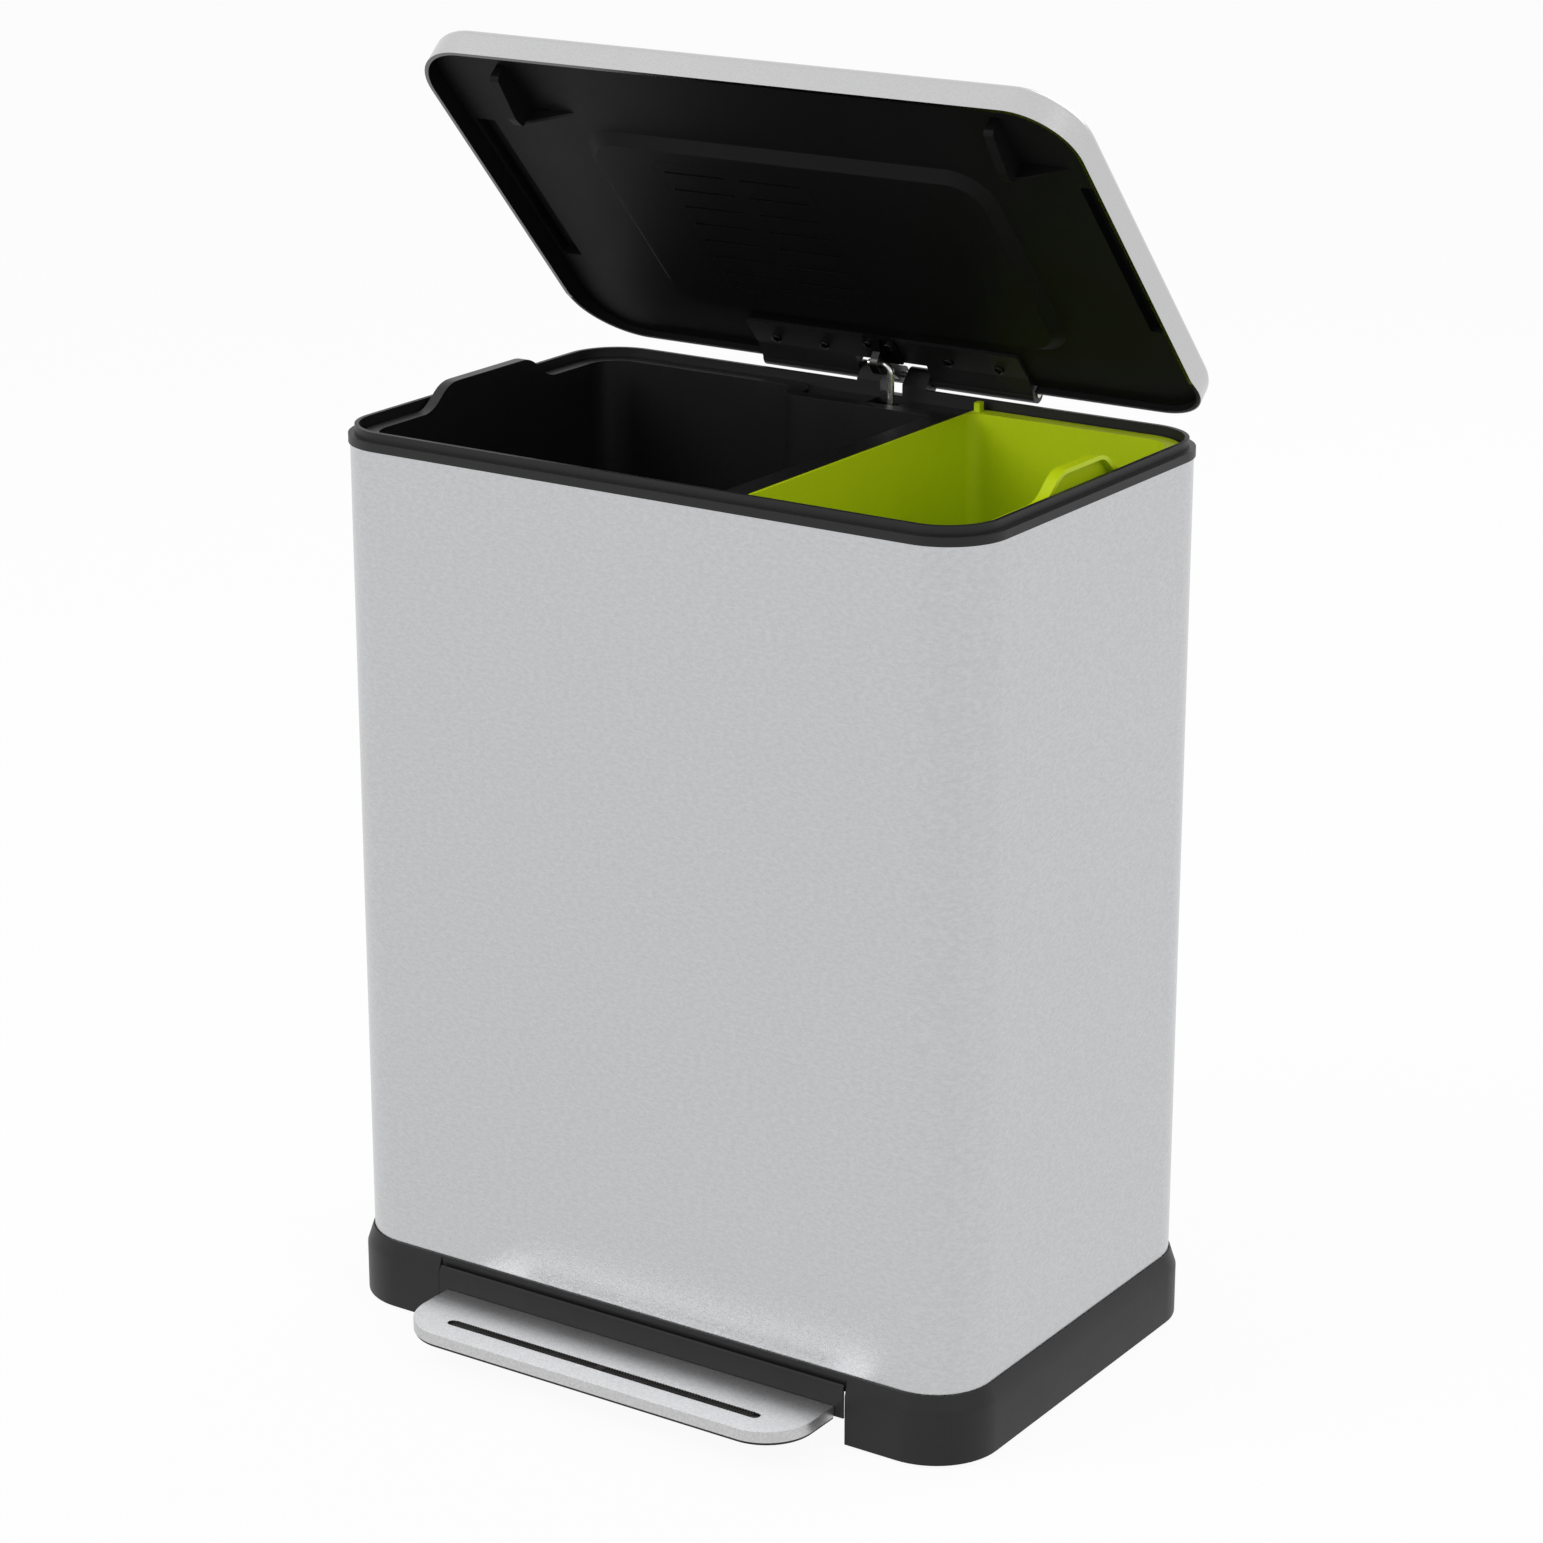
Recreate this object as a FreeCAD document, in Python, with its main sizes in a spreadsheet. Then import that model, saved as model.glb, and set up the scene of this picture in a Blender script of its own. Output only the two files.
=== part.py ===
import FreeCAD, Part
import math
import os
import Sketcher
from FreeCAD import Rotation, Vector

# Double recycling bin with a pedal: a steel sleeve on a moulded base, a moulded top rim that
# carries two lift-out buckets, and a hinged steel lid with a moulded liner. A push rod at the
# back joins the pedal lever to a crank on the lid. Millimetres, +Z up, the pedal faces -Y.
# The lid is drawn open, as it stands with the pedal pressed.
# The origin is on the floor, in the middle of the footprint from pedal edge to hinge.

SIZES = {
    # body
    "body_width": 500.0,
    "body_depth": 315.0,
    "body_corner": 42.0,
    "sleeve_height": 568.0,
    "sleeve_sheet": 0.8,
    "sleeve_seat": 8.0,
    "sleeve_tuck": 3.0,
    "slip": 0.15,
    # base
    "base_height": 50.0,
    "base_overhang": 5.5,
    "base_slope": 13.0,
    "base_lip": 1.2,
    "base_wall": 3.0,
    "deck_rise": 2.0,
    "rib_sheet": 2.0,
    "rib_depth": 9.0,
    "foot_lift": 2.0,
    "foot_radius": 13.0,
    "foot_height": 8.0,
    "foot_stem": 4.0,
    "foot_inset": 38.0,
    # rim
    "rim_height": 12.0,
    "rim_step": 6.0,
    "rim_proud": 1.2,
    "upstand_inset": 3.2,
    "upstand_sheet": 3.0,
    "ledge_drop": 9.0,
    "ledge_reach": 16.2,
    "ledge_sheet": 3.0,
    "plug_depth": 18.0,
    "bar_width": 13.0,
    "housing_left": 65.0,
    "housing_front": 117.0,
    "housing_depth": 12.0,
    # buckets
    "divider_x": 63.5,
    "bucket_gap": 1.0,
    "bucket_wall": 2.2,
    "bucket_floor": 3.0,
    "bucket_step_corner": 12.0,
    "bucket_bar_corner": 5.5,
    "bucket_draft": 9.0,
    "bucket_clear": 10.0,
    "flange_sheet": 2.5,
    "flange_reach": 9.0,
    "grip_length": 132.0,
    "small_grip_length": 96.0,
    "grip_rise": 17.0,
    "grip_slope": 20.0,
    "tab_width": 5.0,
    "tab_rise": 6.0,
    "grip_band": 3.0,
    "grip_depth": 6.0,
    # hinge
    "hinge_behind": 6.0,
    "hinge_above": 6.0,
    "pin_radius": 2.5,
    "pin_play": 0.05,
    "knuckle_radius": 6.5,
    "hinge_half": 110.0,
    "lug_outer": 28.0,
    "lug_inner": 9.0,
    "hinge_play": 1.0,
    "lid_open_angle": 48.0,
    # lid
    "lid_gap": 0.6,
    "lid_sheet": 0.8,
    "lid_skirt": 22.4,
    "lid_edge": 6.0,
    "lid_dome": 6.0,
    "lid_hem": 1.9,
    "lid_relief": 8.0,
    "liner_sheet": 2.0,
    "liner_clear": 7.0,
    "plateau_half": 160.0,
    "plateau_back": 52.0,
    "plateau_front": 240.0,
    "plateau_drop": 6.0,
    "plateau_slope": 9.0,
    "post_x": 190.0,
    "post_back": 253.0,
    "post_length": 45.0,
    "post_drop": 17.0,
    "vent_x": -43.0,
    "vent_width": 120.0,
    "vent_back": 78.0,
    "vent_front": 220.0,
    "vent_slot": 48.0,
    "vent_gap": 2.0,
    "vent_pitch": 18.0,
    # drive
    "crank_reach": 28.0,
    "crank_sheet": 6.0,
    "rod_radius": 2.5,
    "rod_side": 9.5,
    "rod_play": 0.4,
    "pivot_back": 58.0,
    "pivot_height": 30.0,
    "axle_radius": 4.0,
    "axle_half": 84.0,
    "arm_x": 60.0,
    "arm_sheet": 3.0,
    "arm_depth": 12.0,
    "bracket_x": 72.0,
    "bracket_sheet": 6.0,
    # pedal
    "notch_half": 168.0,
    "pedal_gap": 1.5,
    "skirt_top": 44.0,
    "skirt_bottom": 20.0,
    "skirt_sheet": 2.1,
    "tread_half": 160.0,
    "tread_reach": 62.0,
    "tread_top": 28.0,
    "tread_skirt": 8.0,
    "tread_sheet": 1.0,
    "tread_corner": 36.0,
    "tread_body": 10.0,
    "grip_strip": 128.0,
    "grip_strip_half": 3.8,
    "grip_strip_place": 40.0,
    # damper
    "damper_x": 30.0,
    "damper_bore": 8.0,
    "damper_wall": 2.0,
    "damper_height": 120.0,
    "damper_foot": 4.0,
    "damper_rod": 3.0,
    "clamp_height": 208.0,
    "clamp_sheet": 12.0,
    # screws
    "screw_radius": 1.8,
    "screw_head": 3.6,
    "screw_head_height": 2.2,
}

doc = FreeCAD.newDocument("recycling_bin")
sheet = doc.addObject("Spreadsheet::Sheet", "Sizes")


class Size:
    """A length or an angle: its number, and the formula by which the sheet gives it."""

    def __init__(self, value, text):
        self.value = value
        self.text = text

    def __add__(self, other):
        other = size(other)
        return Size(self.value + other.value, f"({self.text} + {other.text})")

    def __sub__(self, other):
        other = size(other)
        return Size(self.value - other.value, f"({self.text} - {other.text})")

    def __mul__(self, other):
        other = size(other)
        return Size(self.value * other.value, f"({self.text} * {other.text})")

    def __truediv__(self, other):
        other = size(other)
        return Size(self.value / other.value, f"({self.text} / {other.text})")

    def __rsub__(self, other):
        return size(other) - self

    def __neg__(self):
        return Size(-self.value, f"(0 - {self.text})")

    __radd__ = __add__
    __rmul__ = __mul__


def size(number):
    """A plain number as a Size, or the Size itself."""
    if isinstance(number, Size):
        return number
    return Size(float(number), f"({number})")


def trig(name, angle):
    """sin, cos or tan of an angle in degrees."""
    return Size(getattr(math, name)(math.radians(angle.value)), f"{name}({angle.text})")


class SheetSizes:
    """The sheet's cells, by alias."""

    def __getattr__(self, alias):
        return Size(SIZES[alias], f"Sizes.{alias}")


S = SheetSizes()


def fill_sheet():
    for row, (alias, value) in enumerate(SIZES.items(), start=1):
        sheet.set(f"A{row}", alias.replace("_", " "))
        sheet.set(f"B{row}", str(value))
        sheet.setAlias(f"B{row}", alias)
    doc.recompute()


# --- places that several pieces share, in the frame of the body: y = 0 is its middle ---

half_width = S.body_width / 2
half_depth = S.body_depth / 2
sleeve_foot = S.base_height - S.sleeve_seat
sleeve_top = S.base_height + S.sleeve_height
band_top = sleeve_top + S.rim_step
rim_top = sleeve_top + S.rim_height
ledge_top = rim_top - S.ledge_drop
deck_top = S.base_height + S.deck_rise
deck_bottom = deck_top - S.base_wall
shelf_bottom = sleeve_foot - 4
flange_top = ledge_top + S.flange_sheet
wall_reach = S.ledge_reach + S.bucket_gap
hinge_y = half_depth + S.hinge_behind
hinge_z = rim_top + S.hinge_above
half_open = S.lid_open_angle / 2
rod_y = hinge_y - S.crank_reach
rod_travel = 2 * S.crank_reach * trig("tan", half_open)
lever_end = S.pivot_height + rod_travel / 2
pivot_y = -(half_depth - S.pivot_back) - 5
front_face = -(half_depth + S.base_overhang)
tread_front = front_face - S.tread_reach
frame_shift = -(tread_front + hinge_y + S.knuckle_radius) / 2
skirt_low = band_top + S.lid_gap - hinge_z
crease = skirt_low + S.lid_skirt
panel_low = S.liner_clear - S.hinge_above
panel_high = panel_low + S.liner_sheet
plateau_low = panel_low - S.plateau_drop
plateau_sheet_top = plateau_low + S.liner_sheet


# --- drawing helpers ---


class Outline:
    """A closed line of straight runs; each corner is (across, up, radius)."""

    def __init__(self, *corners):
        self.corners = [tuple(size(number) for number in corner) for corner in corners]

    def draw(self, sketch):
        spots = [Vector(x.value, y.value, 0) for x, y, _ in self.corners]
        count = len(spots)
        arcs = [round_corner(spots[i - 1], spots[i], spots[(i + 1) % count], self.corners[i][2].value)
                for i in range(count)]
        lines = []
        for i in range(count):
            start, end = arcs[i]["leave"], arcs[(i + 1) % count]["reach"]
            lines.append(sketch.addGeometry(Part.LineSegment(start, end), False))
        for i, (x, y, radius) in enumerate(self.corners):
            before, after = lines[i - 1], lines[i]
            if radius.value == 0:
                sketch.addConstraint(Sketcher.Constraint("Coincident", before, 2, after, 1))
                hold_point(sketch, after, 1, x, y)
                continue
            tip = sketch.addGeometry(Part.Point(spots[i]), True)
            hold_point(sketch, tip, 1, x, y)
            for line in (before, after):
                sketch.addConstraint(Sketcher.Constraint("PointOnObject", tip, 1, line))
            arc = sketch.addGeometry(arcs[i]["arc"], False)
            first, last = (1, 2) if arcs[i]["left"] else (2, 1)
            sketch.addConstraint(Sketcher.Constraint("Tangent", before, 2, arc, first))
            sketch.addConstraint(Sketcher.Constraint("Tangent", arc, last, after, 1))
            bind(sketch, Sketcher.Constraint("Radius", arc, radius.value), radius)


class Ring:
    """A circle given by its centre and radius."""

    def __init__(self, x, y, radius):
        self.x, self.y, self.radius = size(x), size(y), size(radius)

    def draw(self, sketch):
        circle = Part.Circle(Vector(self.x.value, self.y.value, 0), Vector(0, 0, 1), self.radius.value)
        item = sketch.addGeometry(circle, False)
        hold_point(sketch, item, 3, self.x, self.y)
        bind(sketch, Sketcher.Constraint("Radius", item, self.radius.value), self.radius)


def round_corner(before, tip, after, radius):
    """Where a corner's arc starts and ends, and the arc; with no radius, the tip itself."""
    if radius == 0:
        return {"reach": tip, "leave": tip}
    back, ahead = (before - tip).normalize(), (after - tip).normalize()
    half = back.getAngle(ahead) / 2
    reach, leave = tip + back * (radius / math.tan(half)), tip + ahead * (radius / math.tan(half))
    centre = tip + (back + ahead).normalize() * (radius / math.sin(half))
    left = back.cross(ahead).z < 0
    first, last = (reach, leave) if left else (leave, reach)
    angles = [math.atan2(point.y - centre.y, point.x - centre.x) for point in (first, last)]
    if angles[1] < angles[0]:
        angles[1] += 2 * math.pi
    arc = Part.ArcOfCircle(Part.Circle(centre, Vector(0, 0, 1), radius), angles[0], angles[1])
    return {"reach": reach, "leave": leave, "arc": arc, "left": left}


def bind(sketch, constraint, value):
    """Adds a dimension and ties it to the sheet."""
    index = sketch.addConstraint(constraint)
    sketch.setExpression(f"Constraints[{index}]", value.text)


def hold_point(sketch, item, position, x, y):
    """Ties a point's distances from the sketch's axes to the sheet."""
    for kind, axis, value in (("DistanceX", -2, x), ("DistanceY", -1, y)):
        if value.value == 0:
            sketch.addConstraint(Sketcher.Constraint("PointOnObject", item, position, axis))
        else:
            bind(sketch, Sketcher.Constraint(kind, -1, 1, item, position, value.value), value)


def box(left, right, low, high, radius=0):
    return Outline((left, low, radius), (right, low, radius), (right, high, radius), (left, high, radius))


def footprint(inset, middle=0):
    """The body's rounded outline from above, drawn in by inset."""
    inset, middle = size(inset), size(middle)
    x, y = half_width - inset, half_depth - inset
    return box(-x, x, middle - y, middle + y, S.body_corner - inset)


def at_axis(x, y, along, radius):
    """A circle at a distance along a line that slopes down by half the lid's opening."""
    return Ring(x - along * trig("cos", half_open), y - along * trig("sin", half_open), radius)


class Piece:
    """A PartDesign body. Its features lie between level and level + length along an axis."""

    def __init__(self, name):
        self.name = name
        self.body = doc.addObject("PartDesign::Body", name)
        self.body.Label = name
        self.steps = 0

    def sketch(self, plane, level, loops):
        self.steps += 1
        sketch = self.body.newObject("Sketcher::SketchObject", f"{self.name}_sketch{self.steps}")
        origin = [item for item in self.body.Origin.OriginFeatures if item.Role == f"{plane}_Plane"]
        sketch.AttachmentSupport = [(origin[0], "")]
        sketch.MapMode = "FlatFace"
        level = -size(level) if plane == "XZ" else size(level)
        sketch.setExpression("AttachmentOffset.Base.z", level.text)
        for loop in loops:
            loop.draw(sketch)
        return sketch

    def feature(self, kind, profile):
        item = self.body.newObject(f"PartDesign::{kind}", f"{self.name}_{kind.lower()}{self.steps}")
        item.Profile = profile
        return item

    def pad(self, plane, level, length, *loops):
        item = self.feature("Pad", self.sketch(plane, level, loops))
        item.setExpression("Length", size(length).text)
        item.Reversed = plane == "XZ"
        return item

    def cut(self, plane, level, length, *loops):
        item = self.feature("Pocket", self.sketch(plane, level, loops))
        item.setExpression("Length", size(length).text)
        item.Reversed = plane != "XZ"
        return item

    def loft(self, kind, *sections):
        """kind is Additive or Subtractive; each section is (level, outline), from below up."""
        sketches = [self.sketch("XY", level, [loop]) for level, loop in sections]
        item = self.feature(f"{kind}Loft", sketches[0])
        item.Sections = sketches[1:]
        return item

    def dress(self, kind, prop, amount, choose):
        """A fillet or chamfer on the edges of the body so far that choose picks."""
        doc.recompute()
        base = self.body.Tip
        edges = [f"Edge{i}" for i, edge in enumerate(base.Shape.Edges, start=1) if choose(edge)]
        item = self.body.newObject(f"PartDesign::{kind}", f"{self.name}_{kind.lower()}{self.steps}")
        item.Base = (base, edges)
        item.setExpression(prop, size(amount).text)
        return item


def level_edge(level):
    """Picks edges that lie flat at this level."""

    def choose(edge):
        box_ = edge.BoundBox
        return abs(box_.ZMin - level.value) < 0.01 and abs(box_.ZMax - level.value) < 0.01

    return choose


def solid(kind, name, x=0, y=0, z=0, axis="z", **numbers):
    """A Part primitive whose sizes and place come from the sheet."""
    item = doc.addObject(f"Part::{kind}", name)
    for prop, value in numbers.items():
        item.setExpression(prop, size(value).text)
    turns = {"z": Rotation(), "x": Rotation(Vector(0, 1, 0), 90), "y": Rotation(Vector(1, 0, 0), -90)}
    item.Placement.Rotation = turns[axis]
    for letter, value in zip("xyz", (x, y, z)):
        item.setExpression(f"Placement.Base.{letter}", size(value).text)
    return item


def join(kind, name, items):
    """A Part boolean or compound of several shapes."""
    item = doc.addObject(f"Part::{kind}", name)
    item.Label = name
    if kind == "Compound":
        item.Links = items
    elif kind == "MultiFuse":
        item.Shapes = items
    else:
        item.Base, item.Tool = items
    return item


NODES = []


def keep(item, frame="body"):
    """Places a finished sub-part and lists it: the lid's pieces turn about the hinge."""
    item = item.body if isinstance(item, Piece) else item
    if frame == "lid":
        item.Placement.Rotation = Rotation(Vector(-1, 0, 0), S.lid_open_angle.value)
        item.setExpression("Placement.Rotation.Angle", S.lid_open_angle.text)
        item.setExpression("Placement.Base.z", hinge_z.text)
        item.setExpression("Placement.Base.y", (hinge_y + frame_shift).text)
    else:
        item.setExpression("Placement.Base.y", frame_shift.text)
    NODES.append(item)


def screws(name, places, length, frame="body", up=False):
    """Pan-head screws in a row of places; the head's seat is at each place."""
    group = []
    for number, (x, y, z) in enumerate(places, start=1):
        z = size(z)
        head_z, shank_z = (z - S.screw_head_height, z) if up else (z, z - length)
        head = solid("Cylinder", f"{name}_head{number}", x, y, head_z,
                     Radius=S.screw_head, Height=S.screw_head_height)
        shank = solid("Cylinder", f"{name}_shank{number}", x, y, shank_z,
                      Radius=S.screw_radius, Height=length)
        group.append(join("MultiFuse", f"{name}_{number}", [head, shank]))
    keep(join("Compound", name, group), frame)


# --- body ---


def steel_sleeve():
    sleeve = Piece("steel_sleeve")
    height = sleeve_top + S.sleeve_tuck - sleeve_foot
    sleeve.pad("XY", sleeve_foot, height, footprint(0), footprint(S.sleeve_sheet))
    keep(sleeve)


def base_tray():
    """Moulded tray: sloped skirt, groove for the sleeve, deck, pedal notch, axle brackets."""
    base = Piece("base_tray")
    outer, lip = footprint(-S.base_overhang), footprint(-S.base_lip)
    groove_in = S.sleeve_sheet + S.slip
    slope_foot = S.base_height - S.base_slope
    base.pad("XY", S.foot_lift, slope_foot - S.foot_lift, outer)
    base.loft("Additive", (slope_foot, outer), (S.base_height, lip))
    base.pad("XY", S.base_height, S.deck_rise, footprint(groove_in))
    base.cut("XY", sleeve_foot, S.sleeve_seat + S.deck_rise, footprint(-S.slip), footprint(groove_in))
    base.cut("XY", 0, shelf_bottom, footprint(S.base_wall - S.base_overhang))
    base.cut("XY", 0, deck_bottom, footprint(groove_in + S.base_wall))
    notch_depth = S.base_overhang + 12
    base.cut("XZ", front_face - 1, notch_depth, box(-S.notch_half, S.notch_half, 0, shelf_bottom))
    base.cut("XZ", front_face - 1, S.base_overhang - S.base_lip + 1,
             box(-S.notch_half, S.notch_half, shelf_bottom - 2, deck_top + 1))
    ribs(base)
    for side in (-1, 1):
        inner = side * S.bracket_x - (S.bracket_sheet if side < 0 else 0)
        plate = Outline((pivot_y - 12, S.pivot_height - 10, 8), (pivot_y + 12, S.pivot_height - 10, 8),
                        (pivot_y + 20, deck_bottom + 1, 0), (pivot_y - 20, deck_bottom + 1, 0))
        base.pad("YZ", inner, S.bracket_sheet, plate, Ring(pivot_y, S.pivot_height, S.axle_radius + 0.02))
    foot_x, foot_y = half_width - S.foot_inset, half_depth - S.foot_inset
    for x in (-foot_x, foot_x):
        for y in (-foot_y, foot_y):
            base.pad("XY", S.foot_height, deck_bottom + 1 - S.foot_height,
                     Ring(x, y, S.foot_radius - 3), Ring(x, y, S.foot_stem + 0.05))
    base.cut("XY", deck_bottom - 1, S.base_wall + 2, Ring(S.rod_side, rod_y, S.rod_radius + 2),
             Ring(-S.damper_x, rod_y, S.screw_radius + 0.05),
             *[Ring(side * S.arm_x, rod_y - 8, S.screw_radius + 0.05) for side in (-1, 1)])
    keep(base)


def ribs(base):
    """Stiffening ribs under the deck, clear of the lever's sweep."""
    low = deck_bottom - S.rib_depth
    inset = S.sleeve_sheet + S.base_wall
    for side in (-1, 1):
        along = side * (S.bracket_x + 28)
        base.pad("XY", low, S.rib_depth + 1,
                 box(along - S.rib_sheet / 2, along + S.rib_sheet / 2,
                     -(half_depth - inset), half_depth - inset))
        near, far = side * (S.bracket_x + 28), side * (half_width - inset)
        left, right = (near, far) if side > 0 else (far, near)
        for place in (-0.2, 0.05, 0.3):
            across = S.body_depth * place
            base.pad("XY", low, S.rib_depth + 1, box(left, right, across, across + S.rib_sheet))


def rubber_feet():
    foot_x, foot_y = half_width - S.foot_inset, half_depth - S.foot_inset
    places = [(x, y) for x in (-foot_x, foot_x) for y in (-foot_y, foot_y)]
    feet = []
    for number, (x, y) in enumerate(places, start=1):
        pad = solid("Cone", f"foot_pad{number}", x, y, 0,
                    Radius1=S.foot_radius - 1.5, Radius2=S.foot_radius, Height=S.foot_height)
        stem = solid("Cylinder", f"foot_stem{number}", x, y, S.foot_height,
                     Radius=S.foot_stem, Height=12)
        feet.append(join("MultiFuse", f"foot{number}", [pad, stem]))
    keep(join("Compound", "rubber_feet", feet))


def top_rim():
    """Moulded rim: band over the sleeve's edge, upstand, bucket ledge, housing, hinge lugs."""
    rim = Piece("top_rim")
    upstand_in = S.upstand_inset + S.upstand_sheet
    plug_out = S.sleeve_sheet + S.slip
    ledge_low = ledge_top - S.ledge_sheet
    rim.pad("XY", sleeve_top, S.rim_step, footprint(-S.rim_proud), footprint(upstand_in))
    rim.pad("XY", band_top - 1, rim_top - band_top + 1, footprint(S.upstand_inset), footprint(upstand_in))
    rim.pad("XY", ledge_low, S.ledge_sheet, footprint(plug_out), footprint(S.ledge_reach))
    rim.pad("XY", ledge_low - S.plug_depth, S.plug_depth + 1,
            footprint(plug_out + 0.1), footprint(plug_out + S.upstand_sheet))
    rim.pad("XY", ledge_low - 6, 7, footprint(S.ledge_reach - 2), footprint(S.ledge_reach))
    rim.cut("XY", ledge_low - 1, sleeve_top + S.sleeve_tuck + S.slip - ledge_low + 1,
            footprint(-S.slip), footprint(plug_out))
    bar_left, bar_right = S.divider_x - S.bar_width / 2, S.divider_x + S.bar_width / 2
    reach_y = half_depth - S.ledge_reach + 1
    rim.pad("XY", ledge_low, S.ledge_sheet, box(bar_left, bar_right, -reach_y, S.housing_front + 1))
    rim.pad("XY", ledge_low - 8, 9, box(S.divider_x - 1.5, S.divider_x + 1.5, -reach_y, S.housing_front + 1))
    corner = S.bucket_step_corner - S.bucket_gap
    rim.pad("XY", ledge_low, S.ledge_sheet,
            Outline((-S.housing_left, S.housing_front, corner), (bar_right, S.housing_front, 0),
                    (bar_right, reach_y, 0), (-S.housing_left, reach_y, 0)))
    rim.pad("XY", ledge_low - S.housing_depth, S.housing_depth + 1,
            box(-S.housing_left + corner + 4, S.divider_x, S.housing_front, S.housing_front + 2))
    rim.cut("XY", ledge_low - 9, S.ledge_sheet + 11,
            box(-(S.crank_sheet / 2 + 7), S.rod_side + 6, rod_y - 13, half_depth - upstand_in - 0.2))
    lugs(rim, upstand_in)
    rim.cut("XY", band_top, S.rim_height, box(-S.lug_inner, S.lug_inner, half_depth - upstand_in - 1,
                                              half_depth + S.rim_proud + 1))
    keep(rim)


def lugs(rim, upstand_in):
    """Two hinge lugs that rise from the back of the rim."""
    front, back = half_depth - upstand_in, half_depth + S.rim_proud
    slant = S.knuckle_radius * 0.7
    block = Outline((front, band_top - 2, 0), (back, band_top - 2, 0),
                    (hinge_y + S.knuckle_radius * 0.8, hinge_z - S.knuckle_radius * 0.6, 0),
                    (hinge_y, hinge_z, 0), (hinge_y - slant, hinge_z + slant, 0), (front, rim_top + 2, 0))
    width = S.lug_outer - S.lug_inner
    for level in (-S.lug_outer, S.lug_inner):
        rim.pad("YZ", level, width, block)
        rim.pad("YZ", level, width, Ring(hinge_y, hinge_z, S.knuckle_radius))
    rim.cut("YZ", -S.lug_outer - 1, 2 * S.lug_outer + 2, Ring(hinge_y, hinge_z, S.pin_radius + 0.02))


def hinge_pin():
    keep(named(solid("Cylinder", "hinge_pin_rod", -S.hinge_half - 1, hinge_y, hinge_z, "x",
                     Radius=S.pin_radius, Height=2 * S.hinge_half + 2), "hinge_pin"))


def named(item, label):
    """A single primitive kept as a compound of one, so that its place can be shifted."""
    return join("Compound", label, [item])


def rod_cover():
    """Upright channel that keeps the buckets off the push rod and the damper."""
    cover = Piece("rod_cover")
    half, wall = S.housing_left - 9, 2
    front, back = S.housing_front + 1, half_depth - S.sleeve_sheet - S.upstand_sheet - 2
    top = ledge_top - S.ledge_sheet - S.housing_depth
    channel = Outline((-half, back, 0), (-half, front, 5), (half, front, 5), (half, back, 0),
                      (half - wall, back, 0), (half - wall, front + wall, 3),
                      (-half + wall, front + wall, 3), (-half + wall, back, 0))
    cover.pad("XY", deck_top, top - deck_top, channel)
    for side in (-1, 1):
        near, far = side * (half - 1), side * (half + 10)
        left, right = (near, far) if side > 0 else (far, near)
        cover.pad("XY", deck_top, 2.5, box(left, right, rod_y - 16, rod_y, 3),
                  Ring(side * S.arm_x, rod_y - 8, S.screw_radius + 0.05))
    keep(cover)


# --- buckets ---


def bucket(name, left, right, notch_x, reach_left, reach_right):
    """Tapered bucket with a flange that hangs on the ledge.

    Where notch_x is given, a step in the back right corner clears the push rod's cover.
    """
    piece = Piece(name)
    depth = half_depth - wall_reach
    notch_y = S.housing_front - S.bucket_gap
    floor = deck_top + S.bucket_clear
    end, step = S.body_corner - wall_reach, S.bucket_step_corner

    def section(draft, thick=0, reach=None):
        """The outer outline drawn in by the draft, the cavity's, or the flange's."""
        inset = size(draft) + thick
        out, a, b = (S.flange_reach, reach_left, reach_right) if reach else (size(0), size(0), size(0))
        side = size(4) if reach else step - thick
        low, high = left + inset - a, right - inset + b
        front, back = -(depth - inset) - out, depth - inset + out
        outer, hollow = end - thick + out, step + thick - out
        if notch_x is None:
            return Outline((low, front, side), (high, front, outer), (high, back, outer), (low, back, side))
        step_x, step_y = notch_x - inset + out, notch_y - inset + out
        tight = side if reach else S.bucket_bar_corner - thick
        return Outline((low, front, outer), (high, front, side), (high, step_y, tight),
                       (step_x, step_y, hollow), (step_x, back, step - thick + out), (low, back, outer))

    piece.loft("Additive", (floor, section(S.bucket_draft)), (flange_top, section(0)))
    piece.pad("XY", ledge_top, S.flange_sheet, section(0, reach=True))
    piece.loft("Subtractive", (floor + S.bucket_floor, section(S.bucket_draft, S.bucket_wall)),
               (flange_top + 0.01, section(0, S.bucket_wall)))
    return piece


def grip(piece, wall_x, outward, length):
    """The wall rises in an S-sided hump with an outward band along its edge."""
    half, crown = length / 2, length / 2 - S.grip_slope
    low, high, foot = flange_top - 1, flange_top + S.grip_rise, half + 14
    curve = S.grip_rise * 1.45
    hump = Outline((-foot, low, 0), (foot, low, 0), (foot, flange_top, 0), (half, flange_top, curve),
                   (crown, high, curve), (-crown, high, curve), (-half, flange_top, curve),
                   (-foot, flange_top, 0))
    band = S.grip_band
    hollow = Outline((-half + band * 1.6, flange_top, 0), (half - band * 1.6, flange_top, 0),
                     (crown - band / 2, high - band, 15), (-crown + band / 2, high - band, 15))
    wall_level = wall_x if outward < 0 else wall_x - S.bucket_wall
    band_level = wall_x - S.grip_depth if outward < 0 else wall_x
    piece.pad("YZ", wall_level, S.bucket_wall, hump)
    piece.pad("YZ", band_level, S.grip_depth, hump)
    piece.cut("YZ", band_level - (0.5 if outward < 0 else 0), S.grip_depth + 0.5, hollow)


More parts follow.
